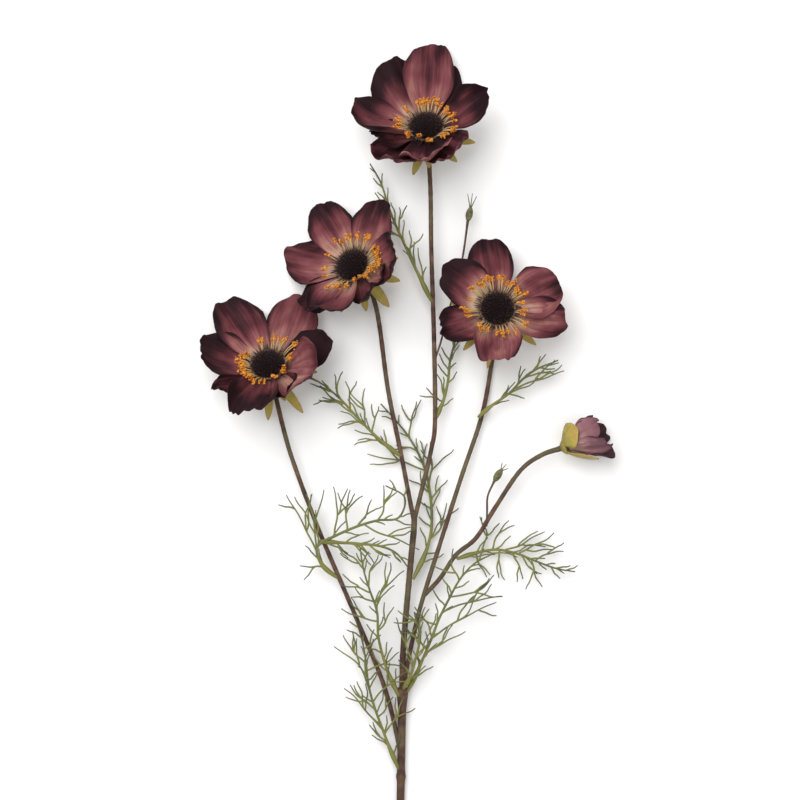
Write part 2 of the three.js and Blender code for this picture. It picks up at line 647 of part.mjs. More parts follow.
// Each frond has a midrib and rows of leaflets: [place along the midrib, angle off it
// (left is positive), length, bow to the side]. Forks are drawn by the rule below.
const FRONDS = [
  {
    name: 'frond_1',
    draws: 101,
    midribs: [[[18.6, 322, 12.6], [15, 329, 14], [8, 341, 14], [1, 357, 12], [-5, 374, 10],
      [-10, 391, 9], [-17, 404, 9]]],
    leaflets: [[[0.16, -85, 6, 0], [0.2, -20, 18, -0.1], [0.33, -30, 12, 0], [0.45, 25, 12, 0.1],
      [0.5, -25, 14, 0.1], [0.6, -8, 19, 0], [0.7, 20, 10, 0], [0.82, 22, 8, 0]]],
  },
  {
    name: 'frond_2',
    draws: 113,
    midribs: [[[20.6, 251, 12], [24, 257, 11], [27, 264, 9], [29, 275, 8], [30, 286, 7],
      [32, 298, 5], [33, 310, 4]]],
    leaflets: [[[0.2, 75, 13, 0.2], [0.25, 25, 12, 0.2], [0.45, 50, 10, 0], [0.52, -45, 6, 0],
      [0.6, 35, 10, 0], [0.7, -25, 10, 0], [0.8, 35, 9, 0]]],
  },
  {
    name: 'frond_3',
    draws: 127,
    midribs: [[[47, 253, 8], [54, 259, 10], [60, 262, 11], [70, 272, 11], [79, 281, 11],
      [93, 288, 11]]],
    leaflets: [[[0.28, 35, 8, 0.1], [0.38, -70, 9, 0.2], [0.45, -26, 32, 0.05], [0.5, 25, 12, 0],
      [0.58, -22, 18, 0], [0.72, 30, 10, 0], [0.8, -30, 9, 0]]],
  },
  {
    name: 'frond_4',
    draws: 139,
    midribs: [[[0, 230, 9.5], [-5, 235, 11], [-11, 240, 13], [-23, 251, 14], [-33, 262, 12],
      [-45, 271, 10], [-55, 276, 9]]],
    leaflets: [[[0.15, -60, 8, 0], [0.2, 50, 12, 0.2], [0.3, -70, 14, 0], [0.38, -20, 20, -0.1],
      [0.42, 70, 12, 0], [0.5, 18, 20, 0], [0.56, -40, 15, 0], [0.62, 20, 18, 0.1],
      [0.7, -45, 12, 0], [0.8, 40, 10, 0]]],
  },
  {
    name: 'frond_5',
    draws: 151,
    midribs: [[[8, 157, 10], [14, 170, 7], [17, 179, 5], [19, 191, 4], [18, 215, 3.5],
      [12, 232, 3], [3, 246, 4], [-10, 261, 5]]],
    leaflets: [[[0.14, -55, 9, 0], [0.22, -15, 24, -0.1], [0.28, 50, 10, -0.1],
      [0.37, 45, 10, 0], [0.42, -40, 16, -0.1], [0.46, 50, 15, 0], [0.5, -12, 26, 0],
      [0.58, 55, 36, 0], [0.6, -30, 14, 0], [0.69, 45, 13, 0.1], [0.77, -40, 22, 0],
      [0.88, 35, 9, 0]]],
  },
  {
    name: 'frond_6',
    draws: 163,
    midribs: [
      [[-37, 157, 9.5], [-45, 164, 13], [-51, 173, 16], [-45, 181, 18], [-32, 186, 19],
        [-18, 192, 20], [-2, 192, 18], [4, 204, 16], [-8, 212, 15]],
      [[-47.5, 179.5, 17.4], [-39, 179, 16], [-22, 179, 15], [-6, 175, 15], [5, 163, 14]],
    ],
    leaflets: [
      [[0.1, 40, 15, 0], [0.17, 4, 42, -0.06], [0.22, -5, 36, 0.1], [0.25, 40, 20, 0], [0.36, 70, 29, -0.1],
        [0.44, 60, 24, 0], [0.5, 40, 18, 0], [0.54, -45, 36, 0], [0.62, 65, 21, -0.1],
        [0.72, -30, 11, -0.1], [0.88, -60, 8, 0]],
      [[0.08, -30, 14, -0.1], [0.2, -28, 24, 0.1], [0.42, 30, 9, 0.1], [0.5, -28, 15, 0],
        [0.62, 30, 12, 0], [0.75, -25, 9, 0]],
    ],
  },
  {
    name: 'frond_7',
    draws: 179,
    midribs: [[[-1, 87, 7.6], [-4, 95, 10], [-7, 105, 12], [-11, 124, 14], [-11, 133, 15],
      [-13, 142, 15], [-19, 159, 14], [-23, 176, 12]]],
    leaflets: [[[0.3, 50, 9, 0], [0.45, -40, 17, 0], [0.51, 70, 23, 0.1], [0.56, -20, 19, -0.1],
      [0.63, -65, 26, 0], [0.64, 60, 14, 0], [0.7, 55, 18, 0], [0.74, -30, 20, 0.1],
      [0.86, 35, 18, 0], [0.88, -35, 9, 0]]],
  },
  {
    name: 'frond_8',
    draws: 191,
    midribs: [[[-1, 43, 4.6], [-4, 50, 6], [-7, 57, 7.4], [-12, 74, 10], [-17, 94, 11],
      [-20, 117, 11], [-25, 134, 12]]],
    leaflets: [[[0.17, 20, 16, 0.1], [0.24, -65, 24, 0.1], [0.27, 25, 34, 0], [0.36, -60, 15, 0],
      [0.41, 25, 21, 0.1], [0.46, -65, 28, 0], [0.53, 25, 34, -0.1], [0.6, -60, 10, 0],
      [0.66, -65, 22, 0], [0.7, 28, 22, 0], [0.8, -65, 13, 0.1], [0.87, 45, 10, 0]]],
  },
  {
    name: 'frond_9',
    draws: 199,
    midribs: [[[4.2, 89, 6.6], [7.6, 96, 9], [14, 112, 14.5], [18, 123, 17], [24, 141, 18],
      [29, 149, 18], [35, 159, 18], [45, 168, 18], [54, 172, 17]]],
    leaflets: [[[0.2, 50, 9, 0], [0.26, -35, 28, 0], [0.3, 70, 16, -0.1], [0.37, -40, 44, 0],
      [0.38, 45, 14, 0.1], [0.46, 80, 15, 0], [0.54, -50, 37, 0], [0.58, 60, 12, 0],
      [0.64, -35, 29, -0.1], [0.66, 55, 11, 0], [0.75, 40, 19, 0.1], [0.8, -35, 10, 0]]],
  },
  {
    name: 'frond_10',
    draws: 211,
    midribs: [[[34.4, 168.6, 9], [40, 171, 7], [49, 173, 6], [61, 175, 6], [72, 171, 7],
      [84, 165, 8], [93, 162, 9], [104, 160, 9]]],
    leaflets: [[[0.16, -80, 16, 0.1], [0.21, 80, 21, -0.1], [0.3, 55, 20, 0], [0.36, -85, 17, 0.1],
      [0.39, 32, 27, 0], [0.47, -60, 17, 0], [0.51, 50, 25, 0], [0.54, -30, 15, -0.1],
      [0.63, -45, 18, -0.1], [0.66, 38, 18, 0], [0.8, -35, 9, 0], [0.84, 30, 9, 0]]],
  },
  {
    name: 'frond_11',
    draws: 223,
    midribs: [[[2.2, 91.5, 9.4], [4.5, 97, 13], [7, 104, 16], [9, 118, 18], [10, 130, 18],
      [8, 138, 18]]],
    leaflets: [[[0.2, 55, 12, 0.1], [0.35, 28, 30, 0.1], [0.48, -25, 13, -0.1], [0.6, 45, 14, 0.1],
      [0.76, -25, 15, -0.1], [0.85, 35, 14, 0.1]]],
  },
];

// What has been laid already: balls along stems and threads, so that later threads
// are bent over or under them instead of passing through.
const laid = [];

function lay(route, radius, owner) {
  for (let j = 0; j + 1 < route.length; j += 1) {
    const steps = Math.ceil(route[j].distanceTo(route[j + 1]) / LAID_STEP);
    for (let k = 0; k < steps; k += 1) {
      laid.push({ point: route[j].clone().lerp(route[j + 1], k / steps), radius, owner });
    }
  }
}

// How far the piece of thread from one point to the next has to rise (or sink) to
// pass a ball that was laid before it.
function liftPast(from, to, radius, other) {
  const along = to.clone().sub(from).setZ(0);
  const away = other.point.clone().sub(from).setZ(0);
  const share = Math.min(1, Math.max(0, away.dot(along) / along.lengthSq()));
  const near = from.clone().lerp(to, share);
  const reach = radius + other.radius + BEND_AIR;
  const flat = Math.hypot(near.x - other.point.x, near.y - other.point.y);
  if (flat >= reach) {
    return 0;
  }
  const need = Math.sqrt(reach * reach - flat * flat);
  const above = near.z - other.point.z;
  if (Math.abs(above) >= need) {
    return 0;
  }
  const sinks = above < 0 && other.point.z - need > radius + TABLE_AIR;
  return sinks ? -need - above : need - above;
}

function bendClear(route, radius, owner, root) {
  for (let round = 0; round < 4; round += 1) {
    for (let j = 0; j + 1 < route.length; j += 1) {
      for (const other of laid) {
        if (other.owner !== owner && root.distanceTo(other.point) > ROOT_REACH) {
          const lift = liftPast(route[j], route[j + 1], radius, other);
          route[j + 1].z += lift;
          route[j].z += j > 0 ? lift : 0;
        }
      }
    }
  }
  return route;
}

function leafletRoute(curve, [place, angle, length, bow], drop) {
  const from = curve.getPointAt(place);
  const ahead = curve.getTangentAt(place);
  const heading = Math.atan2(ahead.y, ahead.x) + radians(angle);
  const out = new THREE.Vector3(Math.cos(heading), Math.sin(heading), 0);
  const left = new THREE.Vector3(-out.y, out.x, 0);
  const middle = from.clone().addScaledVector(out, length / 2).addScaledVector(left, bow * length);
  middle.z += drop * length * 0.3;
  const to = from.clone().addScaledVector(out, length);
  to.z = Math.max(THREAD_RADIUS, to.z + drop * length);
  return new THREE.CatmullRomCurve3([from, middle, to], false, 'catmullrom', 0.5);
}

function spaced(curve, step) {
  return curve.getSpacedPoints(Math.max(1, Math.round(curve.getLength() / step)));
}

function frondNode(frond, room) {
  startDraws(frond.draws);
  const parts = [];
  const routes = [];
  const root = at(frond.midribs[0][0]);
  const strand = (curve, radius, sides) => {
    const route = bendClear(spaced(curve, THREAD_STEP), radius, frond.name, root);
    routes.push([route, radius]);
    parts.push(thread(route, (share) => radius * (1 - 0.25 * share), sides));
    return new THREE.CatmullRomCurve3(route, false, 'catmullrom', 0.5);
  };
  frond.midribs.forEach((places, index) => {
    const sketch = new THREE.CatmullRomCurve3(places.map(at), false, 'catmullrom', 0.5);
    const midrib = strand(sketch, MIDRIB_RADIUS, 4);
    for (const row of frond.leaflets[index]) {
      const leaflet = strand(leafletRoute(midrib, row, draw(-0.12, 0.04)), THREAD_RADIUS, 3);
      const forks = Math.min(2, Math.floor(row[2] / FORK_LENGTH));
      for (let k = 0; k < forks; k += 1) {
        const place = 0.4 + 0.3 * k + draw(0, 0.1);
        const turn = (k % 2 ? 1 : -1) * Math.sign(row[1]) * draw(28, 42);
        const length = 2.5 + row[2] * (1 - place) * draw(0.6, 0.85);
        strand(leafletRoute(leaflet, [place, turn, length, 0], draw(-0.1, 0.05)), THREAD_RADIUS, 3);
      }
    }
  });
  routes.forEach(([route, radius]) => lay(route, radius, frond.name));
  return node(frond.name, mainBody(fuse(parts).subtract(room)), FROND_COLOUR, 0.8);
}

// ---- The whole spray ----

const spray = new THREE.Group();
spray.name = 'anemone_spray';
const stemRoom = stemSolid(BLOOMS, AIR);
spray.add(node('stem', stemSolid(BLOOMS, 0), STEM_COLOUR, 0.75));
for (const bloom of BLOOMS) {
  spray.add(...bloomNodes(bloom, stemRoom));
  lay(smoothRoute(stalkToBloom(bloom.stalk, bloom), STEM_STEP), STALK_RADIUS, 'stem');
}
spray.add(...budNodes(BUD, stemRoom));
SMALL_BUDS.forEach((row) => spray.add(smallBudNode(row)));
lay(smoothRoute(MAIN_ROUTE, STEM_STEP), STEM_RADIUS, 'stem');
lay(smoothRoute(TRUNK_ROUTE, STEM_STEP), TRUNK_RADIUS, 'stem');
lay(smoothRoute(BUD_STALK_ROUTE, STEM_STEP), STALK_RADIUS, 'stem');
lay(smoothRoute(SMALL_A_ROUTE, STEM_STEP), HAIR_STALK_RADIUS, 'stem');
lay(smoothRoute(SMALL_B_ROUTE, STEM_STEP), HAIR_STALK_RADIUS, 'stem');
FRONDS.forEach((frond) => spray.add(frondNode(frond, stemRoom)));

export default spray;
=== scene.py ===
import math
import random

import bmesh
import bpy
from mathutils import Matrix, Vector, noise


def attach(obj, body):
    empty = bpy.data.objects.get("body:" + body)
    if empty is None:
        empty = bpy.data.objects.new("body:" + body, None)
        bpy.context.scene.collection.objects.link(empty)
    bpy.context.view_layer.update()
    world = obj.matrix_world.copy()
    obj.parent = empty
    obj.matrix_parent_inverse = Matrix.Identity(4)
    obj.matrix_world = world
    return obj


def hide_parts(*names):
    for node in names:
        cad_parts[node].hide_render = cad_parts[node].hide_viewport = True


# A branched anemone spray lying on a pale table, in metres, with +Z up. Its blooms are
# cloth and its stem is moulded. Places are noted in millimetres from the point where
# the cut end of the stem touches the table, with +Y along the stem.

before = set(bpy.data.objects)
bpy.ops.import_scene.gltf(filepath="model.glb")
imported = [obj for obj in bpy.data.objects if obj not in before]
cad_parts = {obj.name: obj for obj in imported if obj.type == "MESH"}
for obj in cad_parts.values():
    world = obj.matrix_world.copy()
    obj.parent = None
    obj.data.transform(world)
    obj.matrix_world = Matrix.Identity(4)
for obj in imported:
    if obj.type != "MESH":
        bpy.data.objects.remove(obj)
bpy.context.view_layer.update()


# ---- The stem ----
# One branched stem of soft polyethylene moulded over wire, with a matt brown coat. The
# main stem is 4.8 mm thick with a moulded ring and a swollen fork, and each flower
# stalk is 2.7 mm thick. Two hair-thin stalks carry the seed-like buds.

MIDDLE = Vector((3.5, 237.4, 0))  # middle of the spray, from the cut end
UP = Vector((0, 0, 1))
STEM_RADIUS = 2.4
TRUNK_RADIUS = 1.8
STALK_RADIUS = 1.35
HAIR_STALK_RADIUS = 0.6
KNOTS = [(38, 0.6, 2.2), (90, 1.2, 8)]  # ring and fork: place, height, half length
STEM_STEP = 2.5  # spacing of the stem's points
STEM_SIDES = 12
CURVE_STEPS = 16  # steps from one place of a route to the next
UNEVENNESS = 0.05  # how much a stalk's radius wanders, as a share
BLOOM_SWELLING = 0.2  # how much a flower stalk thickens at its end
SWELLING_POWER = 16  # it thickens only over its last stretch
STALK_LIFT = 1.1  # least height of a stalk, in its radii
CALYX_DEPTH = 10
NECK_GAP = 0.3  # a stalk ends this far behind its calyx

MAIN_ROUTE = [(0, 0, 2.4), (0.3, 23, 2.6), (0.6, 41, 3.3), (1.2, 74, 4.6), (1.5, 91, 5.8)]

# The trunk above the fork, the bud's stalk and the two hair-thin stalks: route, radius,
# and how much each thickens at its end.
BRANCHES = [
    ([(1.3, 86, 5.4), (1.6, 108, 7), (3, 129, 8.5), (6.5, 168, 10), (8.3, 187, 10.5),
      (8.5, 197, 10.5)], TRUNK_RADIUS, 0),
    ([(14.6, 147, 9.2), (23.8, 157, 10), (33.3, 171, 10.5), (45.2, 181, 10.5),
      (56.5, 199, 11), (71.3, 221, 12), (84, 230.4, 13), (95.2, 234.3, 13.6)],
     STALK_RADIUS, 0.35),
    ([(51.4, 188, 10.5), (51.7, 197, 12), (52, 206, 13), (56, 215.3, 14.2)],
     HAIR_STALK_RADIUS, 0.5),
    ([(20.4, 286, 12), (24.4, 298, 11), (28.5, 314, 8), (33.3, 331, 6), (37.5, 349, 6.5),
      (40.4, 370, 9.8)], HAIR_STALK_RADIUS, 0.5),
]

# Each bloom: the middle of its petals' root, how far and toward what azimuth it leans,
# how long its stalk runs straight behind it, and the route of its stalk.
BLOOMS = {
    "bloom_1": ((15.6, 420.6, 22.6), 34, 98, 6, [
        (8.3, 191, 10.5), (11.3, 203, 10.8), (18.4, 233, 11.5), (20.8, 251, 12),
        (20.2, 299, 12), (18.6, 352, 11), (18.2, 385, 9.5)]),
    "bloom_2": ((-26.2, 340.2, 21.8), 32, 135, 6, [
        (8.3, 191, 10.5), (4.8, 209, 10), (0, 234, 9), (-7.1, 269, 8), (-11.9, 305, 7.5),
        (-15, 321, 7)]),
    "bloom_3": ((-77.1, 281.3, 19.7), 34, 98, 6, [
        (0.5, 47, 3), (-2.4, 65, 3.5), (-10.7, 96, 7), (-29.7, 142, 9), (-48.8, 187, 10),
        (-63.1, 225, 9), (-69.2, 245, 7.5)]),
    "bloom_4": ((57, 315.4, 23), 12, 90, 4, [
        (1.3, 86, 5.4), (4.8, 107, 7), (11.9, 139, 9), (23, 175, 10), (36.5, 217, 8),
        (49, 254, 4.4), (55, 286, 1.74), (56.6, 300, 1.64)]),
}


def in_frame(place):
    """A place noted in millimetres from the cut end, in metres in the shared frame."""
    return (Vector(place) - MIDDLE) / 1000


def smooth_route(places, step):
    """Even points about a step apart on a smooth line through the places."""
    places = [Vector(place) for place in places]
    ends = [2 * places[0] - places[1], *places, 2 * places[-1] - places[-2]]
    fine = []
    for a, b, c, d in zip(ends, ends[1:], ends[2:], ends[3:]):
        for k in range(CURVE_STEPS):
            t = k / CURVE_STEPS
            fine.append((2 * b + (c - a) * t + (2 * a - 5 * b + 4 * c - d) * t ** 2
                         + (3 * b - a - 3 * c + d) * t ** 3) / 2)
    fine.append(places[-1])
    lengths = [0]
    for before, after in zip(fine, fine[1:]):
        lengths.append(lengths[-1] + (after - before).length)
    count = max(1, round(lengths[-1] / step))
    route = []
    k = 0
    for j in range(count + 1):
        reach = lengths[-1] * j / count
        while k < len(fine) - 2 and lengths[k + 1] < reach:
            k += 1
        share = (reach - lengths[k]) / (lengths[k + 1] - lengths[k])
        route.append(fine[k].lerp(fine[k + 1], share))
    return route


def placed(name, work, material):
    """Ends a bmesh as a smooth object in the scene."""
    mesh = bpy.data.meshes.new(name)
    work.to_mesh(mesh)
    work.free()
    mesh.shade_smooth()
    mesh.materials.append(material)
    piece = bpy.data.objects.new(name, mesh)
    bpy.context.scene.collection.objects.link(piece)
    return piece


def show(name, work, material):
    """Ends a bmesh as a piece that rides with the spray."""
    piece = placed(name, work, material)
    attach(piece, "root")
    return piece


def threads(name, strands, sides, material):
    """A piece of round closed threads, each given as its places and radii. The
    attribute along runs from 0 at a thread's root to 1 at its tip."""
    curve = bpy.data.curves.new(name, "CURVE")
    curve.dimensions = "3D"
    curve.bevel_depth = 1
    curve.bevel_resolution = (sides - 4) // 2
    curve.use_fill_caps = True
    shares = []
    for places, radii in strands:
        spline = curve.splines.new("POLY")
        spline.points.add(len(places) - 1)
        for j, point in enumerate(spline.points):
            point.co = (*in_frame(places[j]), 1)
            point.radius = radii[j] / 1000
            shares += [j / (len(places) - 1)] * sides
    holder = bpy.data.objects.new(name + "_route", curve)
    bpy.context.scene.collection.objects.link(holder)
    held = holder.evaluated_get(bpy.context.evaluated_depsgraph_get())
    mesh = bpy.data.meshes.new_from_object(held)
    bpy.data.objects.remove(holder)
    bpy.data.curves.remove(curve)
    # The end caps come first, from the last thread's tip to the first thread's root.
    shares = ([1] * sides + [0] * sides) * len(strands) + shares
    mesh.attributes.new("along", "FLOAT", "POINT").data.foreach_set("value", shares)
    work = bmesh.new()
    work.from_mesh(mesh)
    bpy.data.meshes.remove(mesh)
    bmesh.ops.remove_doubles(work, verts=work.verts, dist=1e-6)
    return show(name, work, material)


def linear(code):
    """The linear colour of an sRGB hex code."""
    shares = [int(code[k:k + 2], 16) / 255 for k in (1, 3, 5)]
    return (*(s / 12.92 if s <= 0.04045 else ((s + 0.055) / 1.055) ** 2.4 for s in shares), 1)


def start_material(name):
    """A material with nothing but its output, and the function that adds its nodes."""
    material = bpy.data.materials.new(name)
    material.use_nodes = True
    tree = material.node_tree
    tree.nodes.clear()
    surface = tree.nodes.new("ShaderNodeOutputMaterial").inputs["Surface"]

    def add(kind, inputs=None, stops=(), **settings):
        """Adds a node with its settings, its inputs, which are values or the outputs of
        other nodes, and its colour stops. A shader is linked to the material's output."""
        node = tree.nodes.new("ShaderNode" + kind)
        for setting, value in settings.items():
            setattr(node, setting, value)
        for key, value in (inputs or {}).items():
            if isinstance(value, bpy.types.NodeSocket):
                tree.links.new(value, node.inputs[key])
            else:
                node.inputs[key].default_value = value
        for k, (position, code) in enumerate(stops):
            ramp = node.color_ramp.elements
            stop = ramp[k] if k < 2 else ramp.new(position)
            stop.position = position
            stop.color = linear(code)
        if "BSDF" in node.outputs:
            tree.links.new(node.outputs["BSDF"], surface)
        return node.outputs

    return material, add


def leaned(bloom):
    """A bloom's seat: its root, and the turn from upright to the way it faces."""
    root, lean, toward = bloom[:3]
    lean, toward = math.radians(lean), math.radians(toward)
    axis = Vector((math.sin(lean) * math.cos(toward),
                   math.sin(lean) * math.sin(toward), math.cos(lean)))
    return Vector(root), UP.rotation_difference(axis)


def from_axis(seat, radius, azimuth, height):
    """A place given round the axis of a seat."""
    root, turn = seat
    place = Vector((radius * math.cos(azimuth), radius * math.sin(azimuth), height))
    place.rotate(turn)
    return place + root


source = random.Random(5)
main = smooth_route(MAIN_ROUTE, STEM_STEP)
strands = [(main, [STEM_RADIUS + sum(height * math.exp(-((place.y - middle) / half) ** 2)
                                     for middle, height, half in KNOTS) for place in main])]
stalks = []
for bloom in BLOOMS.values():
    bow, route = bloom[3:]
    straight = [tuple(from_axis(leaned(bloom), 0, 0, -CALYX_DEPTH - NECK_GAP - back))
                for back in (bow, 0)]
    stalks.append((route + straight, STALK_RADIUS, BLOOM_SWELLING))
for places, radius, swelling in BRANCHES + stalks:
    route = smooth_route(places, STEM_STEP)
    radii = []
    for j, place in enumerate(route):
        place.z = max(place.z, STALK_LIFT * radius)
        end = swelling * (j / (len(route) - 1)) ** SWELLING_POWER
        radii.append(radius * (1 + UNEVENNESS * source.uniform(-1, 1) + end))
    strands.append((route, radii))
stem_places = [place for route, _ in strands for place in route]

# Moulded polyethylene, IOR 1.51, with a matt flocked coat: brown, mottled with olive
# and maroon every 5 mm or so, and a fine grain that takes the shine off.
coat, add = start_material("moulded_polyethylene_brown_flock")
spot = add("TexCoord")["Object"]
mottle = add("TexNoise", {"Vector": spot, "Scale": 190, "Detail": 3})["Fac"]
brown = add("ValToRGB", {"Fac": mottle},
            stops=[(0.3, "#2f1c14"), (0.72, "#6d5239"), (0.52, "#503425")])["Color"]
patch = add("TexNoise", {"Vector": spot, "Scale": 38, "Detail": 1})["Fac"]
olive = add("MapRange",
            {"Value": patch, "From Min": 0.5, "From Max": 0.7, "To Max": 0.5})["Result"]
tinted = add("Mix", {0: olive, 6: brown, 7: linear("#5c5a3c")}, data_type="RGBA")[2]
grain = add("TexNoise", {"Vector": spot, "Scale": 1400, "Detail": 2})["Fac"]
relief = add("Bump", {"Height": grain, "Strength": 0.5, "Distance": 0.0004})["Normal"]
add("BsdfPrincipled", {"Base Color": tinted, "Roughness": 0.72, "IOR": 1.51, "Normal": relief})

stem = threads("stem_moulded", strands, STEM_SIDES, coat)
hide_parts("stem")


# ---- The petals of the four blooms ----
# Each bloom has a double whorl of petals cut from thin polyester cloth and pressed into
# cupped, wavy shapes. The dye is near black at the tips, burgundy in the middle and pale
# toward the root, in fine streaks. The crests of the creases are painted paler and their
# furrows darker, as painted highlight and painted shade, and the hollow under bloom_1's
# dome is painted dark as painted shade. The petals are stitched through a hub under the dome.

PETAL_ROOT = 3  # petals begin this far from the bloom's axis
ROOT_WIDTH = 0.16  # a petal's width at its root, as a share
WIDEST = 0.7  # share of its length at which it is full width
TIP_NARROWING = 0.12
TIP_ROUNDING = [(0.19, 2.2), (0.14, 5), (0.06, 16)]  # shares and powers of its round end
NOTCH_WIDTH = 0.26
NICKS, FINE_NICKS = 0.008, 0.002  # how ragged its end is, as shares of its length
EDGE_WANDER = 0.07  # how unevenly its sides run, as a share
EDGE_SHIFT = 1.9  # its two sides wave out of step by this angle
SIDE_FOLD_START, TIP_FOLD_START = 0.3, 0.6  # shares at which the folds begin
CUPPING = 0.16  # how far a petal's sides rise, as a share
LOWEST = 0.35  # a petal lies on the table at this height
CLOTH = 0.00035  # thickness of the cloth, in metres
PETAL_CELLS = (32, 44)  # divisions across and along a petal
PETAL_TWIST = 10
CREST_PAINTED_LIGHT = 0.25  # painted highlight and shade: how much paler a crest 1 mm high is painted, a furrow darker
DENT, FOLD, CRINKLE = 4.2, 4.5, 0.4  # heights of the creases

# The limits between which each petal's own waves are drawn: the lobe of its end, as a
# share of its length, and its phase; then height, count and phase of the waves along its
# edges, and of those across its end. Counts and phases are angles.
WAVES = [(0.02, 0.05), (0, 6.28), (1.6, 2.8), (7, 10), (0, 6.28), (1.4, 2.6), (3.5, 5.5),
         (0, 6.28)]

# A petal's row: azimuth from +X, length, width, rise, curl, and height of its root; then
# how far its left edge, right edge and tip are folded up, how deeply its tip is notched,
# and how dark it is painted at the root and the tip: its dye, and for bloom_1's three
# lower petals also painted shade. Angles in degrees, sizes in mm.
PETALS = {
    "bloom_1": (11, [
        (76, 49, 27, -4, 22, -1.2, 0, 2, 0, 0, 1.7, 1.6),
        (87, 57, 33, 10, 6, 0.5, 1, 2, -1, 0.01, 0.8, 0.2),
        (115, 52, 41, 3, 20, -0.8, 0, 1, 0, 0.04, -0.4, 1.5),
        (177, 48, 37, 9, 36, 0.5, 8, 1, 3, 0, 0.2, 0.6),
        # These three lower petals are painted dark at the root: painted shade of the hollow
        # under the dome.
        (230, 41, 38, -6, 46, -0.8, 3, 3, 3, 0, 3, -0.3),
        (272, 40, 35, 7, 34, 0.5, 4, 2, 4, 0.04, 4, -1.1),
        (304, 34, 34, -3, 50, -0.8, 2, 2, 2, 0, 3, -0.5),
        (13, 44, 30, 9, 36, 0.5, 6, 5, 3, 0.04, 0.9, 1.2),
        (194, 31, 25, 0, 34, -0.6, 1, 1, 0, 0, 1, 0.9),
    ]),
    "bloom_2": (23, [
        (64, 41, 29, 0, 32, -0.8, 0, 1, 0, 0.02, 0, 0.6),
        (120, 45.5, 28, 10, 6, 0.5, 0, 0, 0, 0, -0.2, 0.9),
        (163, 45, 35, -9, 22, -0.8, 0, 0, -1, -0.03, 0.4, 0),
        (218, 38, 29, -12, 40, -1, 3, 3, 2, 0, 0.9, 0.9),
        (250, 40, 38, 9, 30, 0.5, 4, 4, 3, 0.03, 0.2, 0.4),
        (312, 34, 31, -2, 60, -0.8, 2, 3, 2, 0, 0.9, 0.9),
        (352, 42, 36, 9, 46, 0.5, 3, 2, 3, 0.03, 0.1, 0.7),
    ]),
    "bloom_3": (37, [
        (66, 48, 34, -2, 22, -0.8, 0, 3, 1, 0, 0.5, 0.1),
        (124, 49, 33, 10, 8, 0.5, 1, 1, 0, 0, 0.2, 1.2),
        (170, 42, 34, 4, 38, 0.5, 1, 2, 1, 0.02, 0.4, 1.1),
        (255, 42, 35, 9, 26, 0.5, 3, 7, 0, -0.02, 1.2, 1.2),
        (290, 26, 30, -3, 46, -0.8, 2, 2, 2, 0, 1.9, 0.5),
        (335, 38, 40, 9, 40, 0.5, 5, 2, 3, 0.02, 0.9, -0.3),
        (20, 40, 27, 0, 38, -0.8, 1, 1, 1, 0, 1.8, 1.8),
        (204, 32, 17, -6, 26, -0.9, 1, 1, 0, 0, 0.6, 0.4),
    ]),
    "bloom_4": (53, [
        (22, 38, 33, 8, 4, 0.5, 2, 1, 1, 0.05, 0.8, -0.3),
        (97, 42, 29, -4, 18, -0.8, 0, 1, 0, 0.02, 0.4, 0.6),
        (142, 36, 32, 9, 14, 0.5, 1, 0, -3, -0.08, -1.8, 1.8),
        (203, 38, 28, -1, 40, -0.8, 2, 1, 2, 0.02, 0, 1.1),
        (268, 33, 32, 9, 34, 0.5, 3, 4, -2, -0.06, 0.6, -0.6),
        (348, 41, 28, 0, 28, -0.8, 2, 2, 1, 0.06, -0.1, -0.1),
    ]),
}


def even_draws(seed):
    """An endless row of even draws from 0 to 1."""
    while True:
        seed = seed * 16807 % 2147483647
        yield seed / 2147483647


def crumple(u, s, phase):
    """The height of the creases in the cloth: soft dents, sharp folds that run along the
    petal, and a fine crinkle at its edges and tip."""
    dents = DENT * s * noise.noise((1.7 * u, 2.2 * s, phase))
    folds = FOLD * s * (0.24 - abs(noise.noise((2.9 * u, 1.1 * s, phase + 9))))
    sides = CRINKLE * abs(u) ** 3 * s * math.sin(27 * s + 2 * phase)
    end = CRINKLE * s ** 5 * math.sin(15 * u + 3 * phase)
    return dents + folds + sides + end


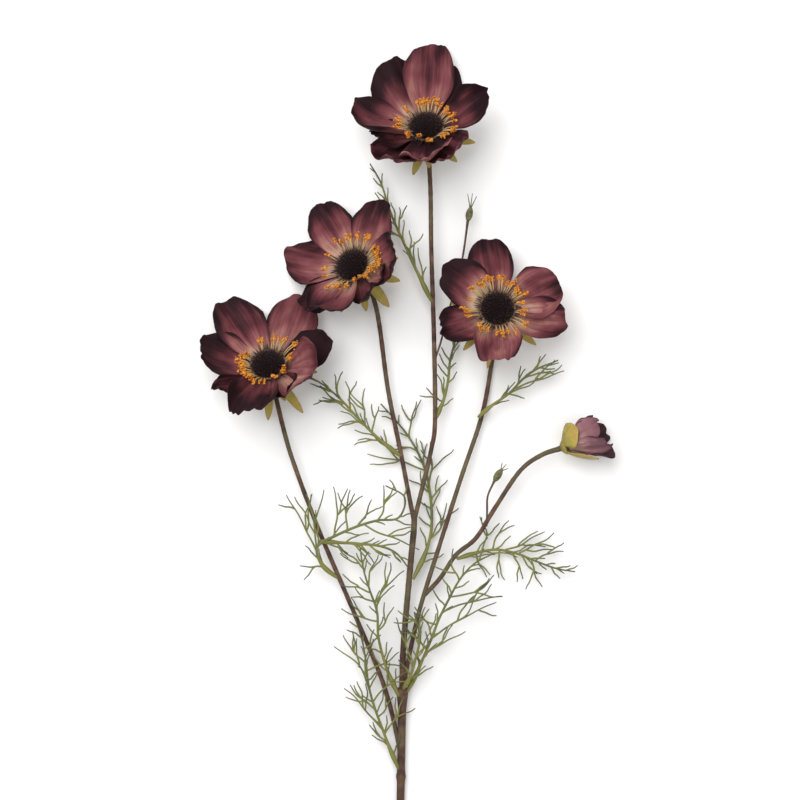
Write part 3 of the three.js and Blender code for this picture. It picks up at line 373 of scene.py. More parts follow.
def petal_surface(seat, row, twist, waves, frill):
    """The middle of a petal, for u from -1 to 1 across and v from 0 to 1 along it, and how
    high its creases stand there. It rises and curls along its length, its sides cup and
    its edges wave and fold. frill is the share of the fine creases that it has."""
    azimuth, length, width, rise, curl, height, left, right, tip_fold, notch, *_ = row
    root, turn = seat
    angle = math.radians(azimuth)
    out = Vector((math.cos(angle), math.sin(angle), 0))
    side = Vector((-out.y, out.x, 0))
    start = math.radians(rise)
    bend = math.radians(curl) + 1e-4
    lobe, lobe_phase, edge_rise, edge_count, phase, end_rise, end_count, end_phase = waves

    def surface(u, v):
        tip = 1 - sum(share * abs(u) ** power for share, power in TIP_ROUNDING)
        tip += lobe * (1 - u * u) * math.cos(3.4 * u + lobe_phase)
        tip -= notch * math.exp(-(u / NOTCH_WIDTH) ** 2)
        tip += frill * (NICKS * math.sin(9 * u + phase) + FINE_NICKS * math.sin(29 * u))
        s = v * tip
        turned = start + bend * s
        reach = PETAL_ROOT + length * (math.sin(turned) - math.sin(start)) / bend
        climb = height + length * (math.cos(start) - math.cos(turned)) / bend
        spread = math.sin(math.pi / 2 * min(1, (s + 0.06) / WIDEST))
        narrowing = 1 - TIP_NARROWING * max(0, s - WIDEST) / (1 - WIDEST)
        half = width / 2 * (ROOT_WIDTH + (1 - ROOT_WIDTH) * spread ** 1.5) * narrowing
        wander = noise.noise((math.copysign(2, u), 3.6 * s, phase + 4))
        half *= 1 + EDGE_WANDER * frill * wander
        roll = math.radians(twist) * (0.5 + 0.5 * s)
        lift = out * -math.sin(turned) + UP * math.cos(turned)
        cross = side * math.cos(roll) + lift * math.sin(roll)
        edge_angle = edge_count * s + phase + (EDGE_SHIFT if u > 0 else 0)
        edge = edge_rise * s * abs(u) ** 1.5 * math.sin(edge_angle)
        end = end_rise * s ** 3 * math.sin(end_count * u + end_phase)
        folded = max(0, (abs(u) - SIDE_FOLD_START) / (1 - SIDE_FOLD_START)) ** 2
        side_fold = (left if u > 0 else right) * folded * spread
        end_fold = tip_fold * max(0, (s - TIP_FOLD_START) / (1 - TIP_FOLD_START)) ** 2
        crease = frill * crumple(u, s, phase)
        raised = CUPPING * half * u * u + edge + end + side_fold + end_fold + crease
        place = out * (reach - 0.35 * end_fold) + UP * climb
        place += cross * (u * half - math.copysign(0.45 * side_fold, u)) + lift * raised
        place.rotate(turn)
        place += root
        place.z = max(place.z, LOWEST)
        return place, crease

    return surface


def whorl(seat, seed, rows, twist, frill):
    """The surfaces of a whorl of petals, each with its tones."""
    draws = even_draws(seed)
    surfaces = []
    for row in rows:
        waves = [low + (high - low) * next(draws) for low, high in WAVES]
        surfaces.append((petal_surface(seat, row, twist, waves, frill), row[10:]))
    return surfaces


def sheets(name, surfaces, cells, thickness, material):
    """A piece of thin sheets. Each is given as its surface and its tones, how dark it is
    painted at root and tip. The attribute tone keeps this darkness, less along the crests of
    the creases and more in their furrows as painted highlight and painted shade, and the
    attribute which tells the sheets apart."""
    work = bmesh.new()
    tone_layer = work.verts.layers.float.new("tone")
    which_layer = work.verts.layers.float.new("which")
    chart = work.loops.layers.uv.new("UVMap")
    for which, (surface, (root_tone, tip_tone)) in enumerate(surfaces):
        grid = bmesh.ops.create_grid(work, x_segments=cells[0], y_segments=cells[1], size=1)
        spots = {}
        for vert in grid["verts"]:
            u, v = spots[vert] = (vert.co.x, (vert.co.y + 1) / 2)
            place, crease = surface(u, v)
            vert.co = in_frame(place)
            # Crests are painted paler and furrows darker: painted highlight and painted shade
            # of the creases.
            vert[tone_layer] = root_tone + (tip_tone - root_tone) * v - CREST_PAINTED_LIGHT * crease
            vert[which_layer] = which
        for face in {face for vert in grid["verts"] for face in vert.link_faces}:
            for loop in face.loops:
                u, v = spots[loop.vert]
                loop[chart].uv = ((u + 1) / 2, v)
    piece = show(name, work, material)
    wall = piece.modifiers.new("cloth", "SOLIDIFY")
    wall.thickness = thickness
    wall.offset = 0
    return piece


# Polyester satin, dyed by hand and pressed: dull, with a faint sheen at grazing angles.
# The dye runs along the petal in streaks about 1 mm wide, and stands darker at the
# edges. The weave is far finer than the render shows, so only its grain is drawn.
satin, add = start_material("dyed_polyester_satin_burgundy")
parts = add("TexCoord")
which = add("Attribute", attribute_name="which")["Fac"]
tone = add("Attribute", attribute_name="tone")["Fac"]
apart = add("SeparateXYZ", {"Vector": parts["UV"]})
across, along = apart["X"], apart["Y"]
chart = add("CombineXYZ", {"X": across, "Y": along, "Z": which})["Vector"]
patterns, shifts = [], []
for stretch, detail, roughness, most in [((24, 1.6, 7.3), 5, 0.68, 0.13),
                                         ((3, 2.5, 7.3), 2, 0.5, 0.18)]:
    spot = add("VectorMath", {0: chart, 1: stretch}, operation="MULTIPLY")[0]
    patterns.append(add("TexNoise", {"Vector": spot, "Scale": 1, "Detail": detail,
                                     "Roughness": roughness})["Fac"])
    shifts.append(add("MapRange", {"Value": patterns[-1], "From Min": 0.25, "From Max": 0.75,
                                   "To Min": -most, "To Max": most})["Result"])
off_middle = add("MapRange", {"Value": across, "From Min": 0.5, "From Max": 1,
                              "To Max": 1}, clamp=False)["Result"]
off_middle = add("Math", {0: off_middle}, operation="ABSOLUTE")[0]
rim = add("Math", {0: off_middle, 1: 6}, operation="POWER")[0]
rim = add("Math", {0: rim, 1: along}, operation="MULTIPLY")[0]
shifts.append(add("Math", {0: rim, 1: 0.07}, operation="MULTIPLY")[0])
# The tone darkens the dye; it carries the painted highlight on crests, painted shade in furrows
# and, on some petals, painted shade of the hollow under the dome.
shifts.append(add("MapRange", {"Value": tone, "To Min": -0.14, "To Max": 0.2},
                  clamp=False)["Result"])
depth = along
for shift in shifts:
    depth = add("Math", {0: depth, 1: shift}, operation="ADD")[0]
dye = add("ValToRGB", {"Fac": depth}, stops=[
    (0, "#c7ab93"), (1, "#261418"), (0.17, "#b38f7d"), (0.33, "#96655f"),
    (0.5, "#794549"), (0.68, "#5e3035"), (0.85, "#3c1e23")])["Color"]
weave = add("TexNoise", {"Vector": parts["Object"], "Scale": 2200})["Fac"]
relief = add("Bump", {"Height": patterns[0], "Strength": 0.35, "Distance": 0.0005})["Normal"]
relief = add("Bump", {"Height": weave, "Strength": 0.15, "Distance": 0.0002,
                      "Normal": relief})["Normal"]
add("BsdfPrincipled", {"Base Color": dye, "Roughness": 0.7, "IOR": 1.45,
                       "Specular IOR Level": 0.12, "Sheen Weight": 0.07,
                       "Sheen Roughness": 0.35, "Sheen Tint": linear("#c98f92"),
                       "Normal": relief})

for name, (seed, rows) in PETALS.items():
    surfaces = whorl(leaned(BLOOMS[name]), seed, rows, PETAL_TWIST, 1)
    petals = sheets(name + "_petal_cloth", surfaces, PETAL_CELLS, CLOTH, satin)
    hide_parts(name + "_petals")


# ---- The domes ----
# A foam button 18.6 mm across in the middle of each bloom, covered in near-black maroon
# velvet flock, with short stiff bristles that stand out all over and lie outward in a
# fringe round its foot.

DOME_PROFILE = [(0, 2.9), (7.3, 2.9), (9, 3.6), (9.3, 4.6), (9, 6), (8.1, 7.3),
                (6.5, 8.3), (4.5, 8.9), (2.2, 9.15), (0, 9.2)]
DOME_STEPS = 40
DOME_BRISTLES = 640
FRINGE_BRISTLES = 210
GOLDEN_ANGLE = 2.39996  # each bristle is turned this far from the last
FLOCK_RADIUS, FLOCK_FOOT, FLOCK_RISE = 9.1, 4.4, 4.6  # the round they stand on
FRINGE_RADIUS = 8.9
BRISTLE_SIDES = 4


def spun(name, profile, steps, seat, material):
    """A piece turned round the axis of a seat from its profile of radii and heights."""
    work = bmesh.new()
    line = [work.verts.new((radius, 0, height)) for radius, height in profile]
    edges = [work.edges.new(pair) for pair in zip(line, line[1:])]
    bmesh.ops.spin(work, geom=line + edges, cent=(0, 0, 0), axis=(0, 0, 1),
                   angle=2 * math.pi, steps=steps, use_merge=True)
    bmesh.ops.remove_doubles(work, verts=work.verts, dist=1e-4)
    bmesh.ops.recalc_face_normals(work, faces=work.faces)
    root, turn = seat
    for vert in work.verts:
        place = vert.co.copy()
        place.rotate(turn)
        vert.co = in_frame(place + root)
    return show(name, work, material)


# Rayon flock on foam: very dark, with no shine, and a brownish bloom at the edge where
# the flock is seen from the side.
velvet, add = start_material("rayon_velvet_flock_black_maroon")
spot = add("TexCoord")["Object"]
pile = add("TexNoise", {"Vector": spot, "Scale": 900, "Detail": 2})["Fac"]
dark = add("ValToRGB", {"Fac": pile}, stops=[(0.35, "#0a0405"), (0.7, "#190b0d")])["Color"]
relief = add("Bump", {"Height": pile, "Strength": 0.8, "Distance": 0.0006})["Normal"]
add("BsdfPrincipled", {"Base Color": dark, "Roughness": 0.95, "Specular IOR Level": 0.1,
                       "Sheen Weight": 0.04, "Normal": relief})

# Nylon bristle, dyed near black, a little browner at the tips.
bristle, add = start_material("nylon_bristle_black_brown")
share = add("Attribute", attribute_name="along")["Fac"]
dark = add("ValToRGB", {"Fac": share}, stops=[(0.2, "#180b0b"), (1, "#4a2825")])["Color"]
add("BsdfPrincipled", {"Base Color": dark, "Roughness": 0.7, "IOR": 1.53})

source = random.Random(17)
for name, bloom in BLOOMS.items():
    seat = leaned(bloom)
    dome = spun(name + "_velvet_dome", DOME_PROFILE, DOME_STEPS, seat, velvet)
    strands = []
    for k in range(DOME_BRISTLES):
        climb = math.asin((k + source.random()) / DOME_BRISTLES)
        flat, steep = math.cos(climb), math.sin(climb)
        azimuth = k * GOLDEN_ANGLE + source.uniform(-0.6, 0.6)
        radius, height = FLOCK_RADIUS * flat, FLOCK_FOOT + FLOCK_RISE * steep
        length = 0.7 + 0.7 * flat + source.uniform(0, 0.4)
        foot = from_axis(seat, radius, azimuth, height)
        tip = from_axis(seat, radius + length * (0.2 + 0.8 * flat),
                        azimuth + source.uniform(-0.06, 0.06), height + length * steep)
        strands.append(([foot, tip], [0.14, 0.04]))
    for k in range(FRINGE_BRISTLES):
        azimuth = 2 * math.pi * (k + source.random()) / FRINGE_BRISTLES
        height = source.uniform(3.4, 5.2)
        reach = source.uniform(2.2, 6.2)
        foot = from_axis(seat, FRINGE_RADIUS, azimuth, height)
        tip = from_axis(seat, FRINGE_RADIUS + reach, azimuth + source.uniform(-0.05, 0.05),
                        height + source.uniform(0.2, 1.6))
        strands.append(([foot, tip], [0.26, 0.07]))
    bristles = threads(name + "_bristles", strands, BRISTLE_SIDES, bristle)
    for piece in (dome, bristles):
        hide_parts(name + "_dome")


# ---- The stamens ----
# A ring of some forty straw-coloured threads round each dome, of extruded plastic, their
# ends dipped in glue and rolled in orange grains. They stand up and outward in bunches.

FILAMENT_RADIUS = 0.36
FOOT_RADIUS, FOOT_HEIGHT = 10, 4.7  # where the threads stand on their ring
THREAD_SIDES = 6
BUNCH_SPREAD = 5  # degrees from one thread of a bunch to the next
GRAIN_RADIUS = 0.68
RING_PROFILE = [(9.6, 4.1), (10.7, 4.1), (10.9, 4.5), (10.7, 5.1), (9.6, 5.1), (9.6, 4.1)]
RING_STEPS = 36

# The bunches round each dome: azimuth, distance of the ends from the axis, and count.
BUNCHES = {
    "bloom_1": [
        (102, 14.5, 5), (84, 17, 4), (62, 16, 3), (33, 15.5, 4), (9, 17, 3), (177, 16.5, 3),
        (194, 17, 3), (223, 14.5, 3), (254, 12, 2), (280, 15, 2), (314, 16.6, 3), (335, 19, 3),
        (140, 15, 2)],
    "bloom_2": [
        (120, 18, 2), (96, 16.5, 3), (77, 17.4, 2), (54, 18.5, 3), (25, 17.7, 3), (14, 18.7, 3),
        (359, 18.5, 3), (348, 18.8, 3), (338, 16.5, 3), (323, 16.2, 3), (312, 14, 2),
        (289, 14.5, 2), (269, 15.8, 2), (251, 16.6, 2), (234, 18.6, 2), (210, 16, 1),
        (188, 16.6, 2), (156, 16, 1)],
    "bloom_3": [
        (108, 14.8, 3), (75, 15.8, 3), (54, 16.8, 2), (26, 18.5, 3), (9, 14.5, 3), (324, 13, 3),
        (292, 14.5, 2), (166, 14.5, 4), (180, 17, 5), (193, 14.5, 4), (208, 16, 4),
        (222, 16.3, 3), (234, 14.7, 2), (245, 17.2, 2), (262, 16.4, 2)],
    "bloom_4": [
        (144, 19, 2), (125, 17, 3), (108, 18.2, 4), (81, 18, 3), (62, 17, 3), (39, 16.2, 3),
        (26, 18.7, 2), (13, 15, 2), (349, 17.1, 2), (327, 17.9, 2), (307, 18.5, 2),
        (285, 16.7, 3), (270, 15.7, 2), (241, 16.3, 3), (225, 15.3, 2), (193, 18.7, 3),
        (184, 20, 2), (165, 16, 1)],
}

# Extruded polyethylene thread, IOR 1.51, straw-coloured, darker at the root.
straw, add = start_material("extruded_polyethylene_straw")
share = add("Attribute", attribute_name="along")["Fac"]
tint = add("ValToRGB", {"Fac": share}, stops=[
    (0, "#6f553f"), (1, "#c08a38"), (0.35, "#b89d75"), (0.75, "#c29f5c")])["Color"]
add("BsdfPrincipled", {"Base Color": tint, "Roughness": 0.6, "IOR": 1.51})

# Dyed cornmeal grains in glue: matt orange, each grain a little lighter or browner.
pollen, add = start_material("dyed_grains_orange")
spot = add("TexCoord")["Object"]
speckle = add("TexNoise", {"Vector": spot, "Scale": 700, "Detail": 1})["Fac"]
orange = add("ValToRGB", {"Fac": speckle},
             stops=[(0.32, "#8c490c"), (0.68, "#e09a2c"), (0.5, "#c87917")])["Color"]
add("BsdfPrincipled", {"Base Color": orange, "Roughness": 0.6, "IOR": 1.48})

source = random.Random(29)
for name, bloom in BLOOMS.items():
    seat = leaned(bloom)
    ring = spun(name + "_stamen_ring", RING_PROFILE, RING_STEPS, seat, straw)
    strands = []
    grains = bmesh.new()
    for middle, distance, count in BUNCHES[name]:
        for k in range(count):
            turned = BUNCH_SPREAD * (k - (count - 1) / 2) + source.uniform(-3, 3)
            azimuth = math.radians(middle + turned)
            reach = distance + source.uniform(-1.3, 1.3)
            top = source.uniform(8.2, 11)
            bend = source.uniform(-0.08, 0.08)
            foot = from_axis(seat, FOOT_RADIUS, azimuth - bend, FOOT_HEIGHT)
            knee = from_axis(seat, (FOOT_RADIUS + reach) / 2, azimuth - 0.4 * bend,
                             FOOT_HEIGHT + 0.72 * (top - FOOT_HEIGHT))
            end = from_axis(seat, reach, azimuth, top)
            route = smooth_route([foot, knee, end], 1.6)
            strands.append((route, [FILAMENT_RADIUS * (1 - 0.2 * j / len(route))
                                    for j in range(len(route))]))
            ahead = (end - knee).normalized()
            for _ in range(source.randint(9, 13)):
                back = source.uniform(-0.9, 1.9)
                drift = Vector([source.uniform(-0.8, 0.8) for _ in range(3)])
                size = GRAIN_RADIUS * source.uniform(0.7, 1.15) / 1000
                ball = bmesh.ops.create_icosphere(grains, subdivisions=1, radius=size)
                bmesh.ops.translate(grains, verts=ball["verts"],
                                    vec=in_frame(end - ahead * back + drift))
    filaments = threads(name + "_filaments", strands, THREAD_SIDES, straw)
    anthers = show(name + "_anthers", grains, pollen)
    for piece in (ring, filaments, anthers):
        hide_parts(name + "_stamens")


# ---- The calyces ----
# Under each bloom sits a moulded green cup, 10 mm deep, that grips the stalk, with
# narrow pointed sepals 5 or 6 mm wide that show between and below the petals.

SEPAL_THICKNESS = 0.0006  # in metres
SEPAL_CELLS = (6, 16)
SEPAL_HEART = -4.4  # the sepals point away from here on the axis
SEPAL_START = 1.5  # and begin this far from it
SEPAL_TIP = 0.3  # half the width at a sepal's point

# Tips of the sepals, and how wide and how strongly bowed each is.
SEPALS = {
    "bloom_1": [((7.7, 396.6, 12), 5.2, 0.6), ((17.2, 400.5, 13), 5, 0.3),
                ((33.7, 403.8, 16), 5.4, 0.8), ((44.3, 414.8, 19), 5.6, 0.8)],
    "bloom_2": [((-1.2, 346.7, 20), 5, 0.5), ((0, 333.3, 18), 5.6, 0.6),
                ((-6.5, 318.2, 11), 6.6, 1.6), ((-20.1, 315.7, 13), 5.4, 0.5),
                ((-35, 315.2, 12), 5, 0.4)],
    "bloom_3": [((-78.5, 251.1, 9), 5.4, 0.5), ((-68.1, 262.6, 12), 5, 0.4),
                ((-57.7, 255.3, 11), 5.6, 1.5), ((-49.1, 279.6, 16), 5.4, 0.8)],
    "bloom_4": [((80.6, 295.6, 12), 5.6, 0.6), ((37.5, 292.5, 14), 5.4, 0.5),
                ((30.3, 320.6, 12), 5, 0.5), ((52, 282, 10), 4.4, 0.4)],
}
CALYX_PROFILE = [(0, -CALYX_DEPTH), (1.9, -CALYX_DEPTH), (2.2, -8.6), (2.9, -6.6),
                 (3.9, -4.9), (4.6, -3.6), (5.1, -2.6), (5.2, -1.8), (0, -1.8)]
CUP_STEPS = 24

# Moulded soft polyethylene, IOR 1.51, yellow-green with ochre toward the tips and faint
# veins along each sepal.
leaf_plastic, add = start_material("moulded_polyethylene_yellow_green")
parts = add("TexCoord")
along = add("SeparateXYZ", {"Vector": parts["UV"]})["Y"]
blotch = add("TexNoise", {"Vector": parts["Object"], "Scale": 260, "Detail": 2})["Fac"]
blotch_shift = add("MapRange", {"Value": blotch, "From Min": 0.3, "From Max": 0.7,
                                "To Min": -0.3, "To Max": 0.3})["Result"]
ripeness = add("Math", {0: along, 1: blotch_shift}, operation="ADD")[0]
green = add("ValToRGB", {"Fac": ripeness}, stops=[
    (0, "#83783a"), (1, "#aa8b4a"), (0.4, "#998a3a"), (0.75, "#ac9943")])["Color"]
vein = add("TexWave", {"Vector": parts["UV"], "Scale": 1.6, "Distortion": 0.6},
           bands_direction="X")["Fac"]
relief = add("Bump", {"Height": vein, "Strength": 0.4, "Distance": 0.0004})["Normal"]
add("BsdfPrincipled", {"Base Color": green, "Roughness": 0.58, "IOR": 1.51, "Normal": relief})


def sepal_surface(heart, tip, width, bow):
    """A narrow pointed leaf from near the heart to its tip, bowed and folded up its
    middle."""
    start = heart + (tip - heart).normalized() * SEPAL_START
    along = tip - start
    side = Vector((-along.y, along.x, 0)).normalized()

    def surface(u, v):
        half = width / 2 * min(1, 0.4 + 1.7 * v) * (1 - v ** 5) ** 0.7
        half = max(half, SEPAL_TIP)
        arch = bow * math.sin(math.pi * v)
        place = start + along * v + side * (u * half + 0.35 * arch)
        place.z += arch + 0.3 * half * u * u + 0.18 * math.sin(9 * v + 3 * u)
        return place, 0

    return surface


for name, bloom in BLOOMS.items():
    seat = leaned(bloom)
    cup = spun(name + "_calyx_cup", CALYX_PROFILE, CUP_STEPS, seat, leaf_plastic)
    heart = from_axis(seat, 0, 0, SEPAL_HEART)
    surfaces = [(sepal_surface(heart, Vector(tip), width, bow), (0, 0))
                for tip, width, bow in SEPALS[name]]
    leaves = sheets(name + "_sepals", surfaces, SEPAL_CELLS, SEPAL_THICKNESS, leaf_plastic)
    for piece in (cup, leaves):
        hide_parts(name + "_calyx")


# ---- The opening bud ----
# A half-open bud on the right-hand stalk, seen from its side: five petals of paler cloth
# that still wrap each other into a cup, held by three broad green sepals.

# Its seat is given as a bloom's, and its petals and sepals as the petals of a bloom.
BUD = ((99.8, 236, 14), 84, 20)
BUD_PETALS = [
    (88, 23, 17, 40, 48, 0, 0, 0, 0, 0.06, 0, 0.2),
    (160, 24, 17, 56, 28, 0, 0, 0, 0, 0.05, -0.3, -0.1),
    (232, 26, 17, 62, 10, 0, 0, 0, 0, 0.05, -0.2, 0.1),
    (304, 27, 17, 64, 12, 0, 0, 0, 0, 0.05, 0.8, 1),
    (16, 28, 17, 56, 22, 0, 0, 0, 0, 0.05, 2, 2.6),
]
BUD_SEPALS = [
    (155, 14.5, 19, 30, 48, -3.2, 0, 0, 0, 0),
    (268, 20, 11, 44, 26, -3.2, 0, 0, 0, 0),
    (10, 15, 13, 30, 40, -3.2, 0, 0, 0, 0),
]
BUD_SEED = 71
BUD_TWIST, BUD_SEPAL_TWIST = 14, 6
BUD_FRILL = 0.5  # share of the creases that an open petal has
BUD_CELLS, BUD_SEPAL_CELLS = (18, 28), (10, 16)
BUD_CUP_PROFILE = [(0, -5), (1.9, -5), (3, -4.2), (4.2, -3.2), (4.9, -1.8), (0, -1.8)]
PLAIN_WAVES = (0.05, 0, 0, 0, 0, 0, 0, 0)  # a sepal has a rounded end and no waves

# The same satin in a paler mauve.
pale_satin = satin.copy()
pale_satin.name = "dyed_polyester_satin_mauve"
mauves = ["#b79a8c", "#a98482", "#9c7376", "#8d646a", "#7c555c", "#62424a", "#3f2a31"]
for node in pale_satin.node_tree.nodes:
    if node.type == "VALTORGB":
        for stop, code in zip(node.color_ramp.elements, mauves):
            stop.color = linear(code)

seat = leaned(BUD)
surfaces = whorl(seat, BUD_SEED, BUD_PETALS, BUD_TWIST, BUD_FRILL)
petals = sheets("bud_petal_cloth", surfaces, BUD_CELLS, CLOTH, pale_satin)
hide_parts("bud_petals")
surfaces = [(petal_surface(seat, row, BUD_SEPAL_TWIST, PLAIN_WAVES, 0), (0, 0))
            for row in BUD_SEPALS]
leaves = sheets("bud_sepals", surfaces, BUD_SEPAL_CELLS, SEPAL_THICKNESS, leaf_plastic)
cup = spun("bud_calyx_cup", BUD_CUP_PROFILE, CUP_STEPS, seat, leaf_plastic)
for piece in (leaves, cup):
    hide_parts("bud_calyx")


# ---- The two seed-like buds ----
# Tiny closed buds on the hair-thin stalks: an olive-brown moulded head 4.2 mm thick and
# 8.8 mm long, with fine ridges, and a few stiff hairs at its end.

# Each bud: its middle, the way it points, and the tips of its hairs.
SMALL_BUDS = {
    "small_bud_1": ((58.1, 218.6, 14.6), (0.5, 0.8, 0.1), [
        (60.5, 226, 15), (64, 222.5, 15.5), (63, 225, 13.6)]),
    "small_bud_2": ((41.2, 373.6, 10.4), (0.2, 0.97, 0.15), [
        (40.2, 385.5, 10.5), (43, 385.6, 12.5), (45.6, 384.1, 10.4)]),
}
SMALL_PROFILE = [(0, -4.4), (0.7, -4.3), (1.3, -3.6), (1.9, -2), (2.1, -0.3), (1.9, 1.5),
                 (1.4, 2.9), (0.9, 3.8), (0.5, 4.3), (0, 4.4)]
SMALL_STEPS = 20
RIDGES, RIDGE_HEIGHT = 8, 0.07  # count, and height as a share of the radius
HAIR_ROOT = 2.8  # hairs begin this far ahead of the middle

# Moulded polyethylene, olive brown, mottled a little lighter and darker.
husk, add = start_material("moulded_polyethylene_olive_brown")
spot = add("TexCoord")["Object"]
blotch = add("TexNoise", {"Vector": spot, "Scale": 500, "Detail": 2})["Fac"]
tint = add("ValToRGB", {"Fac": blotch}, stops=[(0.35, "#46432a"), (0.68, "#767247")])["Color"]
add("BsdfPrincipled", {"Base Color": tint, "Roughness": 0.65, "IOR": 1.51})

for name, (middle, direction, hairs) in SMALL_BUDS.items():
    axis = Vector(direction).normalized()
    seat = (Vector(middle), UP.rotation_difference(axis))
    head = spun(name + "_head", SMALL_PROFILE, SMALL_STEPS, seat, husk)
    for vert in head.data.vertices:
        offset = vert.co - in_frame(middle)
        across = offset - axis * offset.dot(axis)
        angle = math.atan2(across.z, across.dot(axis.cross(UP)))
        vert.co += across * RIDGE_HEIGHT * math.cos(RIDGES * angle)
    start = Vector(middle) + axis * HAIR_ROOT
    strands = []
    for tip in hairs:
        knee = start.lerp(Vector(tip), 0.55) + UP * 0.3
        route = smooth_route([start, knee, tip], 1.5)
        strands.append((route, [0.4 - 0.24 * j / len(route) for j in range(len(route))]))
    hair = threads(name + "_hairs", strands, THREAD_SIDES, husk)
    for piece in (head, hair):
        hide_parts(name)


# ---- The fronds ----
# Eleven feathery leaves moulded in thin olive polyethylene. Each has a midrib 1.8 mm
# thick and thread-like leaflets 1.1 mm thick that fork and end in fine dark points.

MIDRIB_RADIUS, MIDRIB_TIP = 0.9, 0.4
THREAD_RADIUS, THREAD_TIP = 0.55, 0.29
TWIG_RADIUS = 0.5
SHEATH = (0.09, 0.75, 0.07)  # near a midrib's root: place, height, half length
TWIGS = ((18, 38), (9, 17))  # angles and lengths of the twigs along a midrib
NARROW_TWIGS = ((8, 18), (12, 24))
NARROW = ("frond_1", "frond_3", "frond_4")
THREAD_STEP = 13  # spacing of the points that a thread is bent at
SWAY_STEP = 2.2  # spacing of its points when it has swayed
FORK_LENGTH = 21  # a leaflet divides once for each such length
BEND_PASSES = 4
BEND_AIR, TABLE_AIR = 0.6, 0.5  # air kept over or under a stem, and over the table
ROOT_REACH = 7  # a frond's root may touch its stem this far
LAID_STEP = 1.5  # spacing of the balls that are laid along a thread
LAID_STEM_STEP = 17
CELL = 8  # side of the squares that laid balls are sorted in

